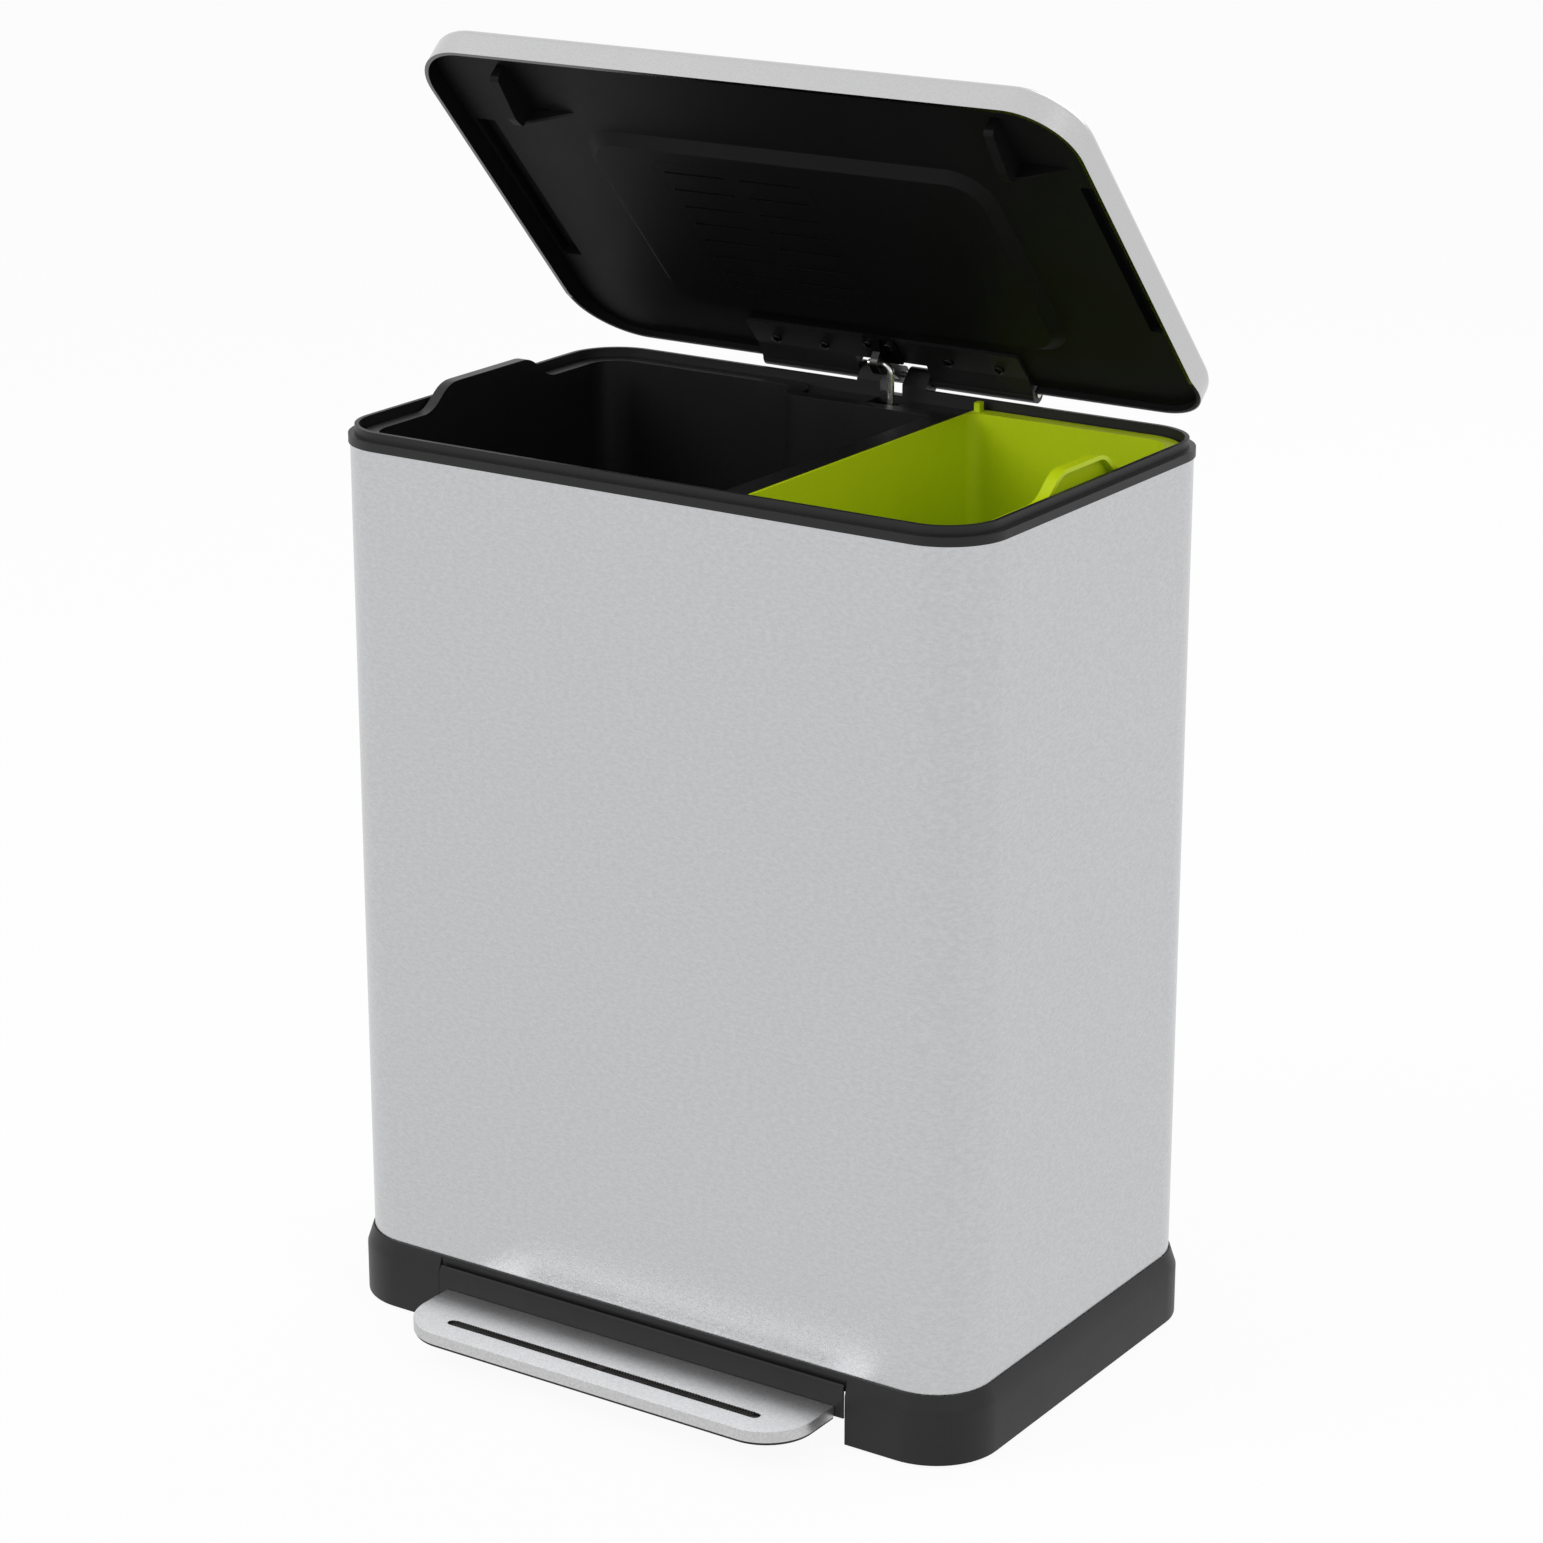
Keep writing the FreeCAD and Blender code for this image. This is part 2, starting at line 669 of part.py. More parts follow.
def buckets():
    end = half_width - wall_reach
    bar_left, bar_right = S.divider_x - S.bar_width / 2, S.divider_x + S.bar_width / 2
    large = bucket("black_bucket", -end, bar_left - S.bucket_gap, -S.housing_left - S.bucket_gap,
                   S.flange_reach, S.bar_width + S.bucket_gap - 0.5)
    grip(large, -end, -1, S.grip_length)
    keep(large)
    left, back = bar_right + S.bucket_gap, half_depth - wall_reach + S.flange_reach
    small = bucket("lime_bucket", left, end, None, size(0), S.flange_reach)
    grip(small, end, 1, S.small_grip_length)
    small.pad("XY", flange_top - 0.5, S.tab_rise + 0.5,
              box(left + 1, left + 1 + S.tab_width, back - S.flange_reach + 1.5, back - 1.5, 1))
    keep(small)


# --- lid, in its own frame: the hinge axis is the origin, closed, front towards -Y ---


def relief():
    """The wedge under the back of the lid that lets it clear the rim as it turns."""
    rear = -S.hinge_behind + S.rim_proud
    return Outline((rear - 54, skirt_low - 0.01, 0), (rear + 5, skirt_low - 3, 0),
                   (rear + 5, skirt_low + S.lid_relief + 1, 0), (rear, skirt_low + S.lid_relief, 0))


def lid_outline(inset):
    return footprint(size(inset) - S.rim_proud, -hinge_y)


def dome(inset, radius):
    """A rounded rectangle drawn in from the lid's edge."""
    inset = size(inset) - S.rim_proud
    x, y = half_width - inset, half_depth - inset
    return box(-x, x, -hinge_y - y, -hinge_y + y, radius)


def lid_skin():
    """Pressed steel lid: hemmed skirt, rounded edge, crowned top."""
    skin = Piece("lid_skin")
    thick = S.lid_sheet
    inner_top = crease - thick
    skin.pad("XY", skirt_low, S.lid_skirt, lid_outline(0))
    skin.cut("XY", skirt_low + thick, S.lid_skirt - 2 * thick, lid_outline(thick))
    skin.cut("XY", skirt_low - 1, thick + 2, lid_outline(thick + S.lid_hem))
    skin.dress("Fillet", "Radius", S.lid_edge - thick, inner_edges(inner_top))
    skin.dress("Fillet", "Radius", S.lid_edge, level_edge(crease))
    rise = S.lid_dome
    skin.loft("Additive", (crease - 0.1, dome(8, 30)), (crease + rise, dome(70, 26)))
    skin.loft("Subtractive", (inner_top - 0.1, dome(9.5, 29)), (inner_top + rise, dome(71, 25.5)))
    reach = half_width + 5
    skin.cut("YZ", -reach, 2 * reach, relief())
    hinge_reach = S.hinge_half + S.hinge_play + 0.5
    skin.cut("XZ", -S.hinge_behind - 2, 5,
             box(-hinge_reach, hinge_reach, skirt_low - 1, S.knuckle_radius + 1))
    keep(skin, "lid")


def inner_edges(level):
    """Picks the cavity's top edges."""
    return level_edge(level)


def lid_liner():
    """Moulded liner: rim wall, panel, plateau, grip recesses, corner posts, vent opening."""
    liner = Piece("lid_liner")
    wall_low = skirt_low + S.lid_sheet + 0.1
    liner.pad("XY", wall_low, panel_high - wall_low, lid_outline(S.lid_sheet + 0.1))
    liner.cut("XY", wall_low - 1, panel_low - wall_low + 1, lid_outline(S.lid_sheet + 0.1 + S.liner_sheet))
    half, slope = S.plateau_half, S.plateau_slope
    back, front = -S.plateau_back, -S.plateau_front

    def plateau(inset, radius):
        inset = size(inset)
        return box(-half + inset, half - inset, front + inset, back - inset, radius)

    liner.loft("Additive", (plateau_low, plateau(slope, 22)), (panel_low + 0.5, plateau(0, 30)))
    liner.loft("Subtractive", (plateau_sheet_top, plateau(slope + 2, 20)),
               (panel_high + 0.01, plateau(2, 28)))
    grip_half = S.grip_length / 2 + 9
    near = half_width - wall_reach - S.bucket_wall - 5
    far = half_width - 4
    recess_low, recess_high = panel_low - 1, crease - S.lid_sheet - 0.6
    for side in (-1, 1):
        left, right = (near, far) if side > 0 else (-far, -near)
        liner.pad("XY", panel_low, recess_high - panel_low,
                  box(left, right, -hinge_y - grip_half, -hinge_y + grip_half, 1.5))
        inner_far = far - 3
        left, right = (near + 2, inner_far) if side > 0 else (-inner_far, -near - 2)
        liner.cut("XY", recess_low, recess_high - 2 - recess_low,
                  box(left, right, -hinge_y - grip_half + 2, -hinge_y + grip_half - 2, 1.5))
        post(liner, side)
    vent_left, vent_right = S.vent_x - S.vent_width / 2, S.vent_x + S.vent_width / 2
    liner.cut("XY", plateau_low - 1, S.liner_sheet + 1.5,
              box(vent_left, vent_right, -S.vent_front, -S.vent_back, 4))
    reach = half_width + 5
    liner.cut("YZ", -reach, 2 * reach, relief())
    hinge_reach = S.hinge_half + S.hinge_play + 0.5
    liner.cut("XY", wall_low - 1, panel_high - wall_low + 2,
              box(-hinge_reach, hinge_reach, -S.hinge_behind - 2.2, 0))
    lug_reach = S.lug_outer + S.hinge_play
    hood = S.knuckle_radius + 0.8
    liner.pad("XY", panel_low, hood + 1.8 - panel_low, box(-lug_reach - 2, lug_reach + 2, -18, -8, 1))
    liner.cut("XY", wall_low - 1, hood - wall_low + 1, box(-lug_reach, lug_reach, -16, 0))
    for x in (-90, -50, 50, 90):
        liner.cut("XY", panel_low - 1, S.liner_sheet + 2, Ring(x, -26, S.screw_radius + 0.05))
    keep(liner, "lid")


def post(liner, side):
    """A fin near the front corner that guides the lid over the buckets, with its swept gusset."""
    back, front = -S.post_back, -S.post_back - S.post_length
    low = panel_low - S.post_drop
    liner.pad("YZ", side * S.post_x - 3.5, 7,
              Outline((front, low + 5, 4), (back - 10, low, 12), (back, low + 2, 3),
                      (back, panel_low + 0.5, 0), (front, panel_low + 0.5, 0)))
    middle = side * S.post_x
    liner.pad("XZ", back - 2.2, 2.2,
              Outline((middle - 3, low + 4, 0), (middle + 8, low + 6, 18), (middle + 40, panel_low + 0.5, 0),
                      (middle - 3, panel_low + 0.5, 0)))


def vent_cover():
    """Slotted cover that snaps into the plateau from inside the lid."""
    cover = Piece("vent_cover")
    left, right = S.vent_x - S.vent_width / 2, S.vent_x + S.vent_width / 2
    back, front = -S.vent_back, -S.vent_front
    cover.pad("XY", plateau_low, S.liner_sheet + 0.1, box(left + 0.2, right - 0.2, front + 0.2, back - 0.2, 4))
    for place in (front + 24, (front + back) / 2, back - 24):
        for near, far in ((left - 2.5, left + 3), (right - 3, right + 2.5)):
            cover.pad("XY", plateau_sheet_top, 1.6, box(near, far, place - 5, place + 5, 1))
    gap = 6
    for row in range(7):
        place = front + 10 + S.vent_pitch * row
        slots = [box(S.vent_x - gap - S.vent_slot, S.vent_x - gap, place, place + S.vent_gap),
                 box(S.vent_x + gap, S.vent_x + gap + S.vent_slot, place, place + S.vent_gap)]
        cover.cut("XY", plateau_low - 1, S.liner_sheet + 4, *slots)
    cover.cut("XY", plateau_low - 1, 1.9, box(left + 6, right - 6, back - 9, back - 7.5))
    keep(cover, "lid")


def odour_filter():
    """Stiff board of pressed charcoal that lies on the vent cover."""
    pad = Piece("odour_filter")
    left, right = S.vent_x - S.vent_width / 2, S.vent_x + S.vent_width / 2
    pad.pad("XY", plateau_sheet_top + 0.1, 5, box(left + 3.5, right - 3.5, -S.vent_front + 2, -S.vent_back - 2, 4))
    keep(pad, "lid")


def lid_hinge():
    """Moulded hinge strip under the back of the liner, with two long barrels on the pin."""
    strip = Piece("lid_hinge")
    plate_low = panel_low - 2.6
    strip.pad("XY", plate_low, 2.6, box(-S.hinge_half, S.hinge_half, -42, -17, 3))
    inner = S.lug_outer + S.hinge_play
    web = Outline((-18, panel_low, 0), (-18, plate_low, 0), (-3, -5, 0), (0, 0, 0), (-3, 5, 0), (-8, panel_low, 0))
    for level in (-S.hinge_half, inner):
        width = S.hinge_half - inner
        strip.pad("YZ", level, width, web)
        strip.pad("YZ", level, width, Ring(0, 0, S.knuckle_radius))
        strip.cut("YZ", level - 1, width + 2, Ring(0, 0, S.pin_radius + S.pin_play))
    for x in (-90, -50, 50, 90):
        strip.cut("XY", plate_low - 1, 5, Ring(x, -26, S.screw_radius + 0.05))
    for x in (-8, 8):
        strip.cut("XY", plate_low - 1, 5, Ring(x, -38, S.screw_radius + 0.05))
    keep(strip, "lid")
    screws("hinge_screws", [(x, -26, plate_low) for x in (-90, -50, 50, 90)], 7, "lid", up=True)


def lid_crank():
    """Steel crank on the hinge pin: its slotted eye takes the push rod's hook."""
    crank = Piece("lid_crank")
    half = S.crank_sheet / 2
    top = panel_low - 2.6
    plate = Outline((0, 5.5, 0), (-15, top, 0), (-45, top, 0), (-45, top - 3, 0), (-37, -9, 0),
                    (-35, -19, 6), (-24, -19, 6), (-14, -8.5, 0), (0, -5.5, 0))
    crank.pad("YZ", -half, S.crank_sheet, plate)
    crank.pad("YZ", -half, S.crank_sheet, Ring(0, 0, S.knuckle_radius - 0.3))
    crank.pad("XY", top - 2.5, 2.5, box(-13, 13, -45, -18, 3))
    near = S.crank_reach
    far = S.crank_reach / trig("cos", half_open)
    radius = S.rod_radius + S.rod_play
    crank.cut("YZ", -half - 1, S.crank_sheet + 2, Ring(0, 0, S.pin_radius + S.pin_play))
    for along in (near, (near + far) / 2, far):
        crank.cut("YZ", -half - 1, S.crank_sheet + 2, at_axis(0, 0, along, radius))
    for x in (-8, 8):
        crank.cut("XY", top - 4, 6, Ring(x, -38, S.screw_radius + 0.05))
    keep(crank, "lid")
    screws("crank_screws", [(x, -38, top - 2.5) for x in (-8, 8)], 4.8, "lid", up=True)


# --- drive ---


def push_rod():
    """Steel rod with both ends bent into hooks; at rest it is up, with the lid open."""
    low, high = lever_end, hinge_z + S.crank_reach * trig("tan", half_open)
    radius, side = S.rod_radius, S.rod_side
    bend = 6
    pieces = []
    leg = solid("Cylinder", "rod_leg", side, rod_y, low + bend, Radius=radius, Height=high - low - 2 * bend)
    pieces.append(leg)
    hook = side - bend + 8
    for number, (z, turn) in enumerate(((low, 0), (high, 90)), start=1):
        centre_z = z + bend if turn == 0 else z - bend
        elbow = solid("Torus", f"rod_elbow{number}", side - bend, rod_y, centre_z, Radius1=bend, Radius2=radius)
        elbow.Angle3 = 90
        first = Rotation(Vector(1, 0, 0), 90)
        spin = Rotation(Vector(0, 1, 0), 90 if turn == 0 else 0)
        elbow.Placement.Rotation = spin * first
        pieces.append(elbow)
        pieces.append(solid("Cylinder", f"rod_hook{number}", -8, rod_y, z, "x", Radius=radius, Height=hook))
    keep(join("MultiFuse", "push_rod", pieces))


def rod_clamp():
    """Block that ties the damper's rod to the push rod."""
    clamp = Piece("rod_clamp")
    left, right = -S.damper_x - 8, S.rod_side + 7
    clamp.pad("XY", S.clamp_height, S.clamp_sheet, box(left, right, rod_y - 6.5, rod_y + 6.5, 5),
              Ring(S.rod_side, rod_y, S.rod_radius + 0.02), Ring(-S.damper_x, rod_y, S.damper_rod + 0.02))
    keep(clamp)


def damper():
    """Closing damper beside the push rod: foot, cylinder, cap and piston rod."""
    x, y = -S.damper_x, rod_y
    low = deck_top + S.damper_foot
    outer = S.damper_bore + S.damper_wall
    foot = solid("Cylinder", "damper_flange", x, y, deck_top, Radius=outer + 4, Height=S.damper_foot)
    screw_hole = solid("Cylinder", "damper_foot_hole", x, y, deck_top - 1,
                       Radius=S.screw_radius + 0.05, Height=S.damper_foot + 2)
    keep(join("Cut", "damper_foot", [foot, screw_hole]))
    tube = solid("Cylinder", "damper_tube", x, y, low, Radius=outer, Height=S.damper_height)
    bore = solid("Cylinder", "damper_bore_cut", x, y, low + 3, Radius=S.damper_bore, Height=S.damper_height)
    keep(join("Cut", "damper_cylinder", [tube, bore]))
    top = low + S.damper_height
    cap = solid("Cylinder", "damper_cap_disc", x, y, top, Radius=outer, Height=5)
    hole = solid("Cylinder", "damper_cap_hole", x, y, top - 1, Radius=S.damper_rod + S.pin_play, Height=7)
    keep(join("Cut", "damper_cap", [cap, hole]))
    piston_z = top - 16
    rod = solid("Cylinder", "damper_shaft", x, y, piston_z, Radius=S.damper_rod,
                Height=S.clamp_height + S.clamp_sheet - piston_z)
    piston = solid("Cylinder", "damper_piston", x, y, piston_z, Radius=S.damper_bore - S.pin_play, Height=8)
    keep(join("MultiFuse", "damper_rod", [rod, piston]))


def pedal_lever():
    """Steel lever: two arms on the axle, a front plate for the pedal, a rear bar with an eye."""
    lever = Piece("pedal_lever")
    half = S.arm_depth / 2
    bar_y = rod_y - 16
    arm = Outline((front_face + 14, S.skirt_bottom + 4, 0), (pivot_y + 8, S.pivot_height - half, 20),
                  (bar_y, lever_end - half, 0), (bar_y, lever_end + half - 1.5, 0),
                  (pivot_y + 8, S.pivot_height + half, 20), (front_face + 14, S.skirt_bottom + 14, 4))
    for side in (-1, 1):
        level = side * S.arm_x - S.arm_sheet / 2
        lever.pad("YZ", level, S.arm_sheet, arm)
    lever.pad("XZ", bar_y - 3, 3, box(-S.arm_x, S.arm_x, lever_end - half, lever_end + half - 1.5))
    lever.pad("YZ", -3, 5, Outline((bar_y - 1, lever_end - half, 0), (rod_y + 6, lever_end - half, 5),
                                   (rod_y + 6, lever_end + half - 1, 5), (bar_y - 1, lever_end + half - 1.5, 0)))
    plate_low = S.skirt_bottom + 4
    lever.pad("XY", plate_low, S.arm_sheet, box(-S.arm_x - 12, S.arm_x + 12, front_face + 8, front_face + 34, 4))
    for side in (-1, 1):
        level = side * S.arm_x - S.arm_sheet / 2 - 1
        lever.cut("YZ", level, S.arm_sheet + 2, Ring(pivot_y, S.pivot_height, S.axle_radius + S.pin_play))
    lever.cut("YZ", -4, 7, Ring(rod_y, lever_end, S.rod_radius + S.rod_play))
    for x in (-48, -16, 16, 48):
        lever.cut("XY", plate_low - 1, S.arm_sheet + 2, Ring(x, front_face + 21, S.screw_radius + 0.05))
    keep(lever)
    axle = solid("Cylinder", "axle_rod", -S.axle_half, pivot_y, S.pivot_height, "x",
                 Radius=S.axle_radius, Height=2 * S.axle_half)
    keep(named(axle, "pedal_axle"))
    clips = []
    for side in (-1, 1):
        place = side * (S.bracket_x + S.bracket_sheet) + (0.2 if side > 0 else -1.4)
        washer = solid("Cylinder", f"clip_disc{side + 2}", place, pivot_y, S.pivot_height, "x",
                       Radius=S.axle_radius + 4, Height=1.2)
        hole = solid("Cylinder", f"clip_hole{side + 2}", place - 1, pivot_y, S.pivot_height, "x",
                     Radius=S.axle_radius + 0.02, Height=4)
        clips.append(join("Cut", f"clip{side + 2}", [washer, hole]))
    keep(join("Compound", "axle_clips", clips))


def pedal_body():
    """Moulded pedal: the skirt that fills the base's notch, and the tread's ribbed underside."""
    pedal = Piece("pedal_body")
    half = S.notch_half - S.pedal_gap
    back = front_face + S.skirt_sheet
    skirt = Outline((front_face, S.skirt_bottom, 1), (back, S.skirt_bottom, 0), (back, S.skirt_top, 0),
                    (front_face + 1.3, S.skirt_top, 0), (front_face, S.skirt_top - 3, 0))
    pedal.pad("YZ", -half, 2 * half, skirt)
    body_top, body_low = S.tread_top - S.tread_sheet, S.tread_top - S.tread_body
    inset = S.tread_sheet + 0.1
    pedal.pad("XY", body_low, S.tread_body - S.tread_sheet, tread(inset, front_face + 0.5))
    pedal.cut("XY", body_low - 1, S.tread_body - S.tread_sheet - 1.5, tread(inset + 2.2, front_face - 2))
    for step in range(-4, 5):
        middle = step * S.tread_half * 0.2
        pedal.pad("YZ", middle - 1, 2, box(tread_front + 3, front_face - 1, body_low + 1, body_top - 1))
    tongue_low = S.skirt_bottom + 1
    pedal.pad("XY", tongue_low, 3, box(-S.arm_x - 12, S.arm_x + 12, front_face + 2, front_face + 34, 3),
              *[Ring(x, front_face + 21, S.screw_radius + 0.05) for x in (-48, -16, 16, 48)])
    pedal.cut("XY", body_top - 1, 3, strip_outline(0))
    keep(pedal)
    screws("pedal_screws", [(x, front_face + 21, tongue_low) for x in (-48, -16, 16, 48)], 7.5, up=True)


def tread(inset, back):
    """The tread's outline from above: square at the base, rounded at its front corners."""
    inset = size(inset)
    half, corner = S.tread_half - inset, S.tread_corner - inset
    front = tread_front + inset
    return Outline((-half, front, corner), (half, front, corner), (half, back, 0), (-half, back, 0))


def strip_outline(grow):
    """The slot for the rubber strip, with round ends."""
    middle = front_face - S.grip_strip_place
    half, long = S.grip_strip_half + grow, S.grip_strip + grow
    return box(-long, long, middle - half, middle + half, half - 0.01)


def pedal_plate():
    """Steel plate with turned-down edges over the tread."""
    plate = Piece("pedal_plate")
    low = S.tread_top - S.tread_skirt
    plate.pad("XY", low, S.tread_skirt, tread(0, front_face - 0.3))
    plate.cut("XY", low - 1, S.tread_skirt - S.tread_sheet + 1, tread(S.tread_sheet, front_face + 5))
    plate.cut("XY", S.tread_top - 3, 5, strip_outline(0))
    keep(plate)
    strip = Piece("pedal_grip")
    strip.pad("XY", S.tread_top - S.tread_sheet - 1, S.tread_sheet + 1.6, strip_outline(-0.1))
    keep(strip)


def small_screws():
    screws("cover_screws", [(side * S.arm_x, rod_y - 8, deck_top + 2.5) for side in (-1, 1)], 6.5)
    screws("damper_screw", [(-S.damper_x, rod_y, deck_bottom)], 6.5, up=True)


def check_document():
    """Stops if a feature failed, cut nothing, or a sub-part isn't a valid solid."""
    for item in doc.Objects:
        state = {"Invalid", "Error"} & set(item.State)
        if state:
            raise RuntimeError(f"{item.Name}: {sorted(state)}")
        cuts = item.TypeId in ("PartDesign::Pocket", "PartDesign::SubtractiveLoft")
        if cuts and item.BaseFeature.Shape.Volume - item.Shape.Volume < 1e-3:
            raise RuntimeError(f"{item.Name} cuts nothing")
    for item in NODES:
        if item.Shape.isNull() or not item.Shape.isValid() or not item.Shape.Solids:
            raise RuntimeError(f"{item.Label} has no valid solid")


def write_parts():
    os.makedirs("parts", exist_ok=True)
    for item in NODES:
        item.Shape.exportStep(f"parts/{item.Label}.step")
        print(f"{item.Label}: {len(item.Shape.Solids)} solid(s), {item.Shape.Volume / 1000:.1f} cm3")


def main():
    fill_sheet()
    for build in (steel_sleeve, base_tray, rubber_feet, top_rim, hinge_pin, rod_cover, buckets,
                  lid_skin, lid_liner, vent_cover, odour_filter, lid_hinge, lid_crank, push_rod,
                  rod_clamp, damper, pedal_lever, pedal_body, pedal_plate, small_screws):
        build()
    doc.recompute()
    check_document()
    write_parts()
    print(f"frame shift {frame_shift.value:.3f}, hinge y {hinge_y.value:.3f} z {hinge_z.value:.3f}")
    print(f"rod y {rod_y.value:.3f}, travel {rod_travel.value:.3f}, pivot y {pivot_y.value:.3f}")


main()
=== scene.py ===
"""Double recycling bin with a pedal: looks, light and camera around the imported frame."""

import logging
import math
from dataclasses import dataclass, field
from enum import Enum
from typing import Callable, Union

import bpy
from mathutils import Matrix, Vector


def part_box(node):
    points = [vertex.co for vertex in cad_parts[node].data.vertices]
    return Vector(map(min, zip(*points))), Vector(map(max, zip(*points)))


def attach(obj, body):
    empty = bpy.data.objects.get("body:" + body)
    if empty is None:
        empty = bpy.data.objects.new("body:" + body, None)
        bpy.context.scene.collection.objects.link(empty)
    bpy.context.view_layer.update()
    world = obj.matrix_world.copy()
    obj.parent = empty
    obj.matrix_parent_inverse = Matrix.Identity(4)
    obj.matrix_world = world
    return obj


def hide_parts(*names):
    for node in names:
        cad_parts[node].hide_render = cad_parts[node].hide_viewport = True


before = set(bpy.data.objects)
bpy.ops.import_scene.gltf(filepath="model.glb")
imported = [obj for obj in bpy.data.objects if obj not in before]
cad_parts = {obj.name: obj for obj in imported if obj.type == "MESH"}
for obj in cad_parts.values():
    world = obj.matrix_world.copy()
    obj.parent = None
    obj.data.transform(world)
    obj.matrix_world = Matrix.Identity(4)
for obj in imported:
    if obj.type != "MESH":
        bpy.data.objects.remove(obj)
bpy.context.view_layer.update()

OPENED = math.radians(48.0)
INSIDE_LID = (0.0, -math.sin(OPENED), -math.cos(OPENED))

log = logging.getLogger("bin")

Number = Union[int, float]
Colour = tuple[float, float, float]
Rgba = tuple[float, float, float, float]

WHITE: Rgba = (1.0, 1.0, 1.0, 1.0)
# Fixed grey that lid steel faces pointing into the lid are darkened towards
INWARD_GREY: Rgba = (0.14, 0.14, 0.14, 1.0)
MIX_FIRST, MIX_SECOND, MIX_COLOUR = 6, 7, 2


# --- shader writing ---


class Signal:
    """A node's output that Python's operators turn into Math nodes."""

    def __init__(self, pen: "Pen", socket: bpy.types.NodeSocket) -> None:
        """Wraps one socket of the pen's material."""
        self.pen = pen
        self.socket = socket

    def math(self, operation: str, *others: "Signal | Number") -> "Signal":
        """Applies a Math node.

        Args:
            operation: the Math node's operation.
            others: the operands after this one.

        Returns:
            The node's result.
        """
        values = dict(enumerate((self, *others)))
        return self.pen.node("ShaderNodeMath", {"operation": operation}, values)

    def __add__(self, other: "Signal | Number") -> "Signal":
        """self + other."""
        return self.math("ADD", other)

    def __sub__(self, other: "Signal | Number") -> "Signal":
        """self - other."""
        return self.math("SUBTRACT", other)

    def __rsub__(self, other: Number) -> "Signal":
        """other - self."""
        return (self * -1.0) + other

    def __mul__(self, other: "Signal | Number") -> "Signal":
        """self * other."""
        return self.math("MULTIPLY", other)

    def __truediv__(self, other: Number) -> "Signal":
        """self / other."""
        return self.math("DIVIDE", other)

    def between(self, low: float, high: float) -> "Signal":
        """A smooth step from 0 at low to 1 at high."""
        sockets = {"Value": self, "From Min": low, "From Max": high, "To Min": 0.0, "To Max": 1.0}
        return self.pen.node("ShaderNodeMapRange", {"interpolation_type": "SMOOTHSTEP"}, sockets)

    def __rtruediv__(self, other: Number) -> "Signal":
        """other / self."""
        return self.math("POWER", -1.0) * other

    __radd__ = __add__
    __rmul__ = __mul__


class Pen:
    """Writes the nodes of one material, or of the world."""

    def __init__(self, name: str, world: bool = False) -> None:
        """Starts an empty material, or an empty world."""
        self.owner = (bpy.data.worlds if world else bpy.data.materials).new(name)
        self.output = "ShaderNodeOutputWorld" if world else "ShaderNodeOutputMaterial"
        self.owner.use_nodes = True
        self.tree = self.owner.node_tree
        self.tree.nodes.clear()

    def node(self, kind: str, settings: dict | None = None, sockets: dict | None = None,
             out: str | int = 0) -> Signal:
        """Adds a node.

        Args:
            kind: the node's type.
            settings: its properties, set before its sockets.
            sockets: values or signals by the socket's name or number.
            out: which output is wanted.

        Returns:
            The wanted output.
        """
        node = self.tree.nodes.new(kind)
        for name, value in (settings or {}).items():
            setattr(node, name, value)
        for name, value in (sockets or {}).items():
            if isinstance(value, Signal):
                self.tree.links.new(value.socket, node.inputs[name])
            else:
                node.inputs[name].default_value = value
        return Signal(self, node.outputs[out])

    def place(self, stretch: tuple[float, float, float] = (1.0, 1.0, 1.0)) -> Signal:
        """Object coordinates, stretched along the axes."""
        where = self.node("ShaderNodeTexCoord", out="Object")
        return self.node("ShaderNodeMapping", {"vector_type": "POINT"}, {"Vector": where, "Scale": stretch})

    def noise(self, place: Signal, scale: float, detail: float = 3.0, rough: float = 0.55) -> Signal:
        """Cloudy noise from about 0 to 1; scale is in cycles per metre."""
        sockets = {"Vector": place, "Scale": scale, "Detail": detail, "Roughness": rough}
        return self.node("ShaderNodeTexNoise", {"noise_dimensions": "3D"}, sockets)

    def cells(self, place: Signal, scale: float) -> Signal:
        """Distance to the nearest cell point; scale is in cells per metre."""
        return self.node("ShaderNodeTexVoronoi", {"feature": "F1"}, {"Vector": place, "Scale": scale})

    def mix(self, share: Signal, first: Colour, second: Colour) -> Signal:
        """A colour between two, by share."""
        settings = {"data_type": "RGBA", "blend_type": "MIX"}
        sockets = {0: share, MIX_FIRST: (*first, 1.0), MIX_SECOND: (*second, 1.0)}
        return self.node("ShaderNodeMix", settings, sockets, MIX_COLOUR)

    def bump(self, height: Signal, distance: float, strength: float = 1.0) -> Signal:
        """A normal from a height; distance is in metres."""
        sockets = {"Height": height, "Distance": distance, "Strength": strength}
        return self.node("ShaderNodeBump", None, sockets)

    def shown(self) -> Signal:
        """1 for rays from the camera, from glossy surfaces and through glass, and 0 for all others."""
        kinds = ("Camera", "Glossy", "Transmission")
        seen, mirrored, through = (self.node("ShaderNodeLightPath", out=f"Is {kind} Ray") for kind in kinds)
        return seen.math("MAXIMUM", mirrored).math("MAXIMUM", through)

    def finish(self, shader: Signal) -> bpy.types.Material | bpy.types.World:
        """Joins the shader to the output.

        Args:
            shader: the surface shader.

        Returns:
            The material or the world.
        """
        surface = self.tree.nodes.new(self.output).inputs["Surface"]
        self.tree.links.new(shader.socket, surface)
        return self.owner


# --- finishes ---


class Grain(Enum):
    """How a metal's fine grain is stretched along the axes."""

    EVEN = (1.0, 1.0, 1.0)
    LINEN = (0.5, 0.5, 1.0)


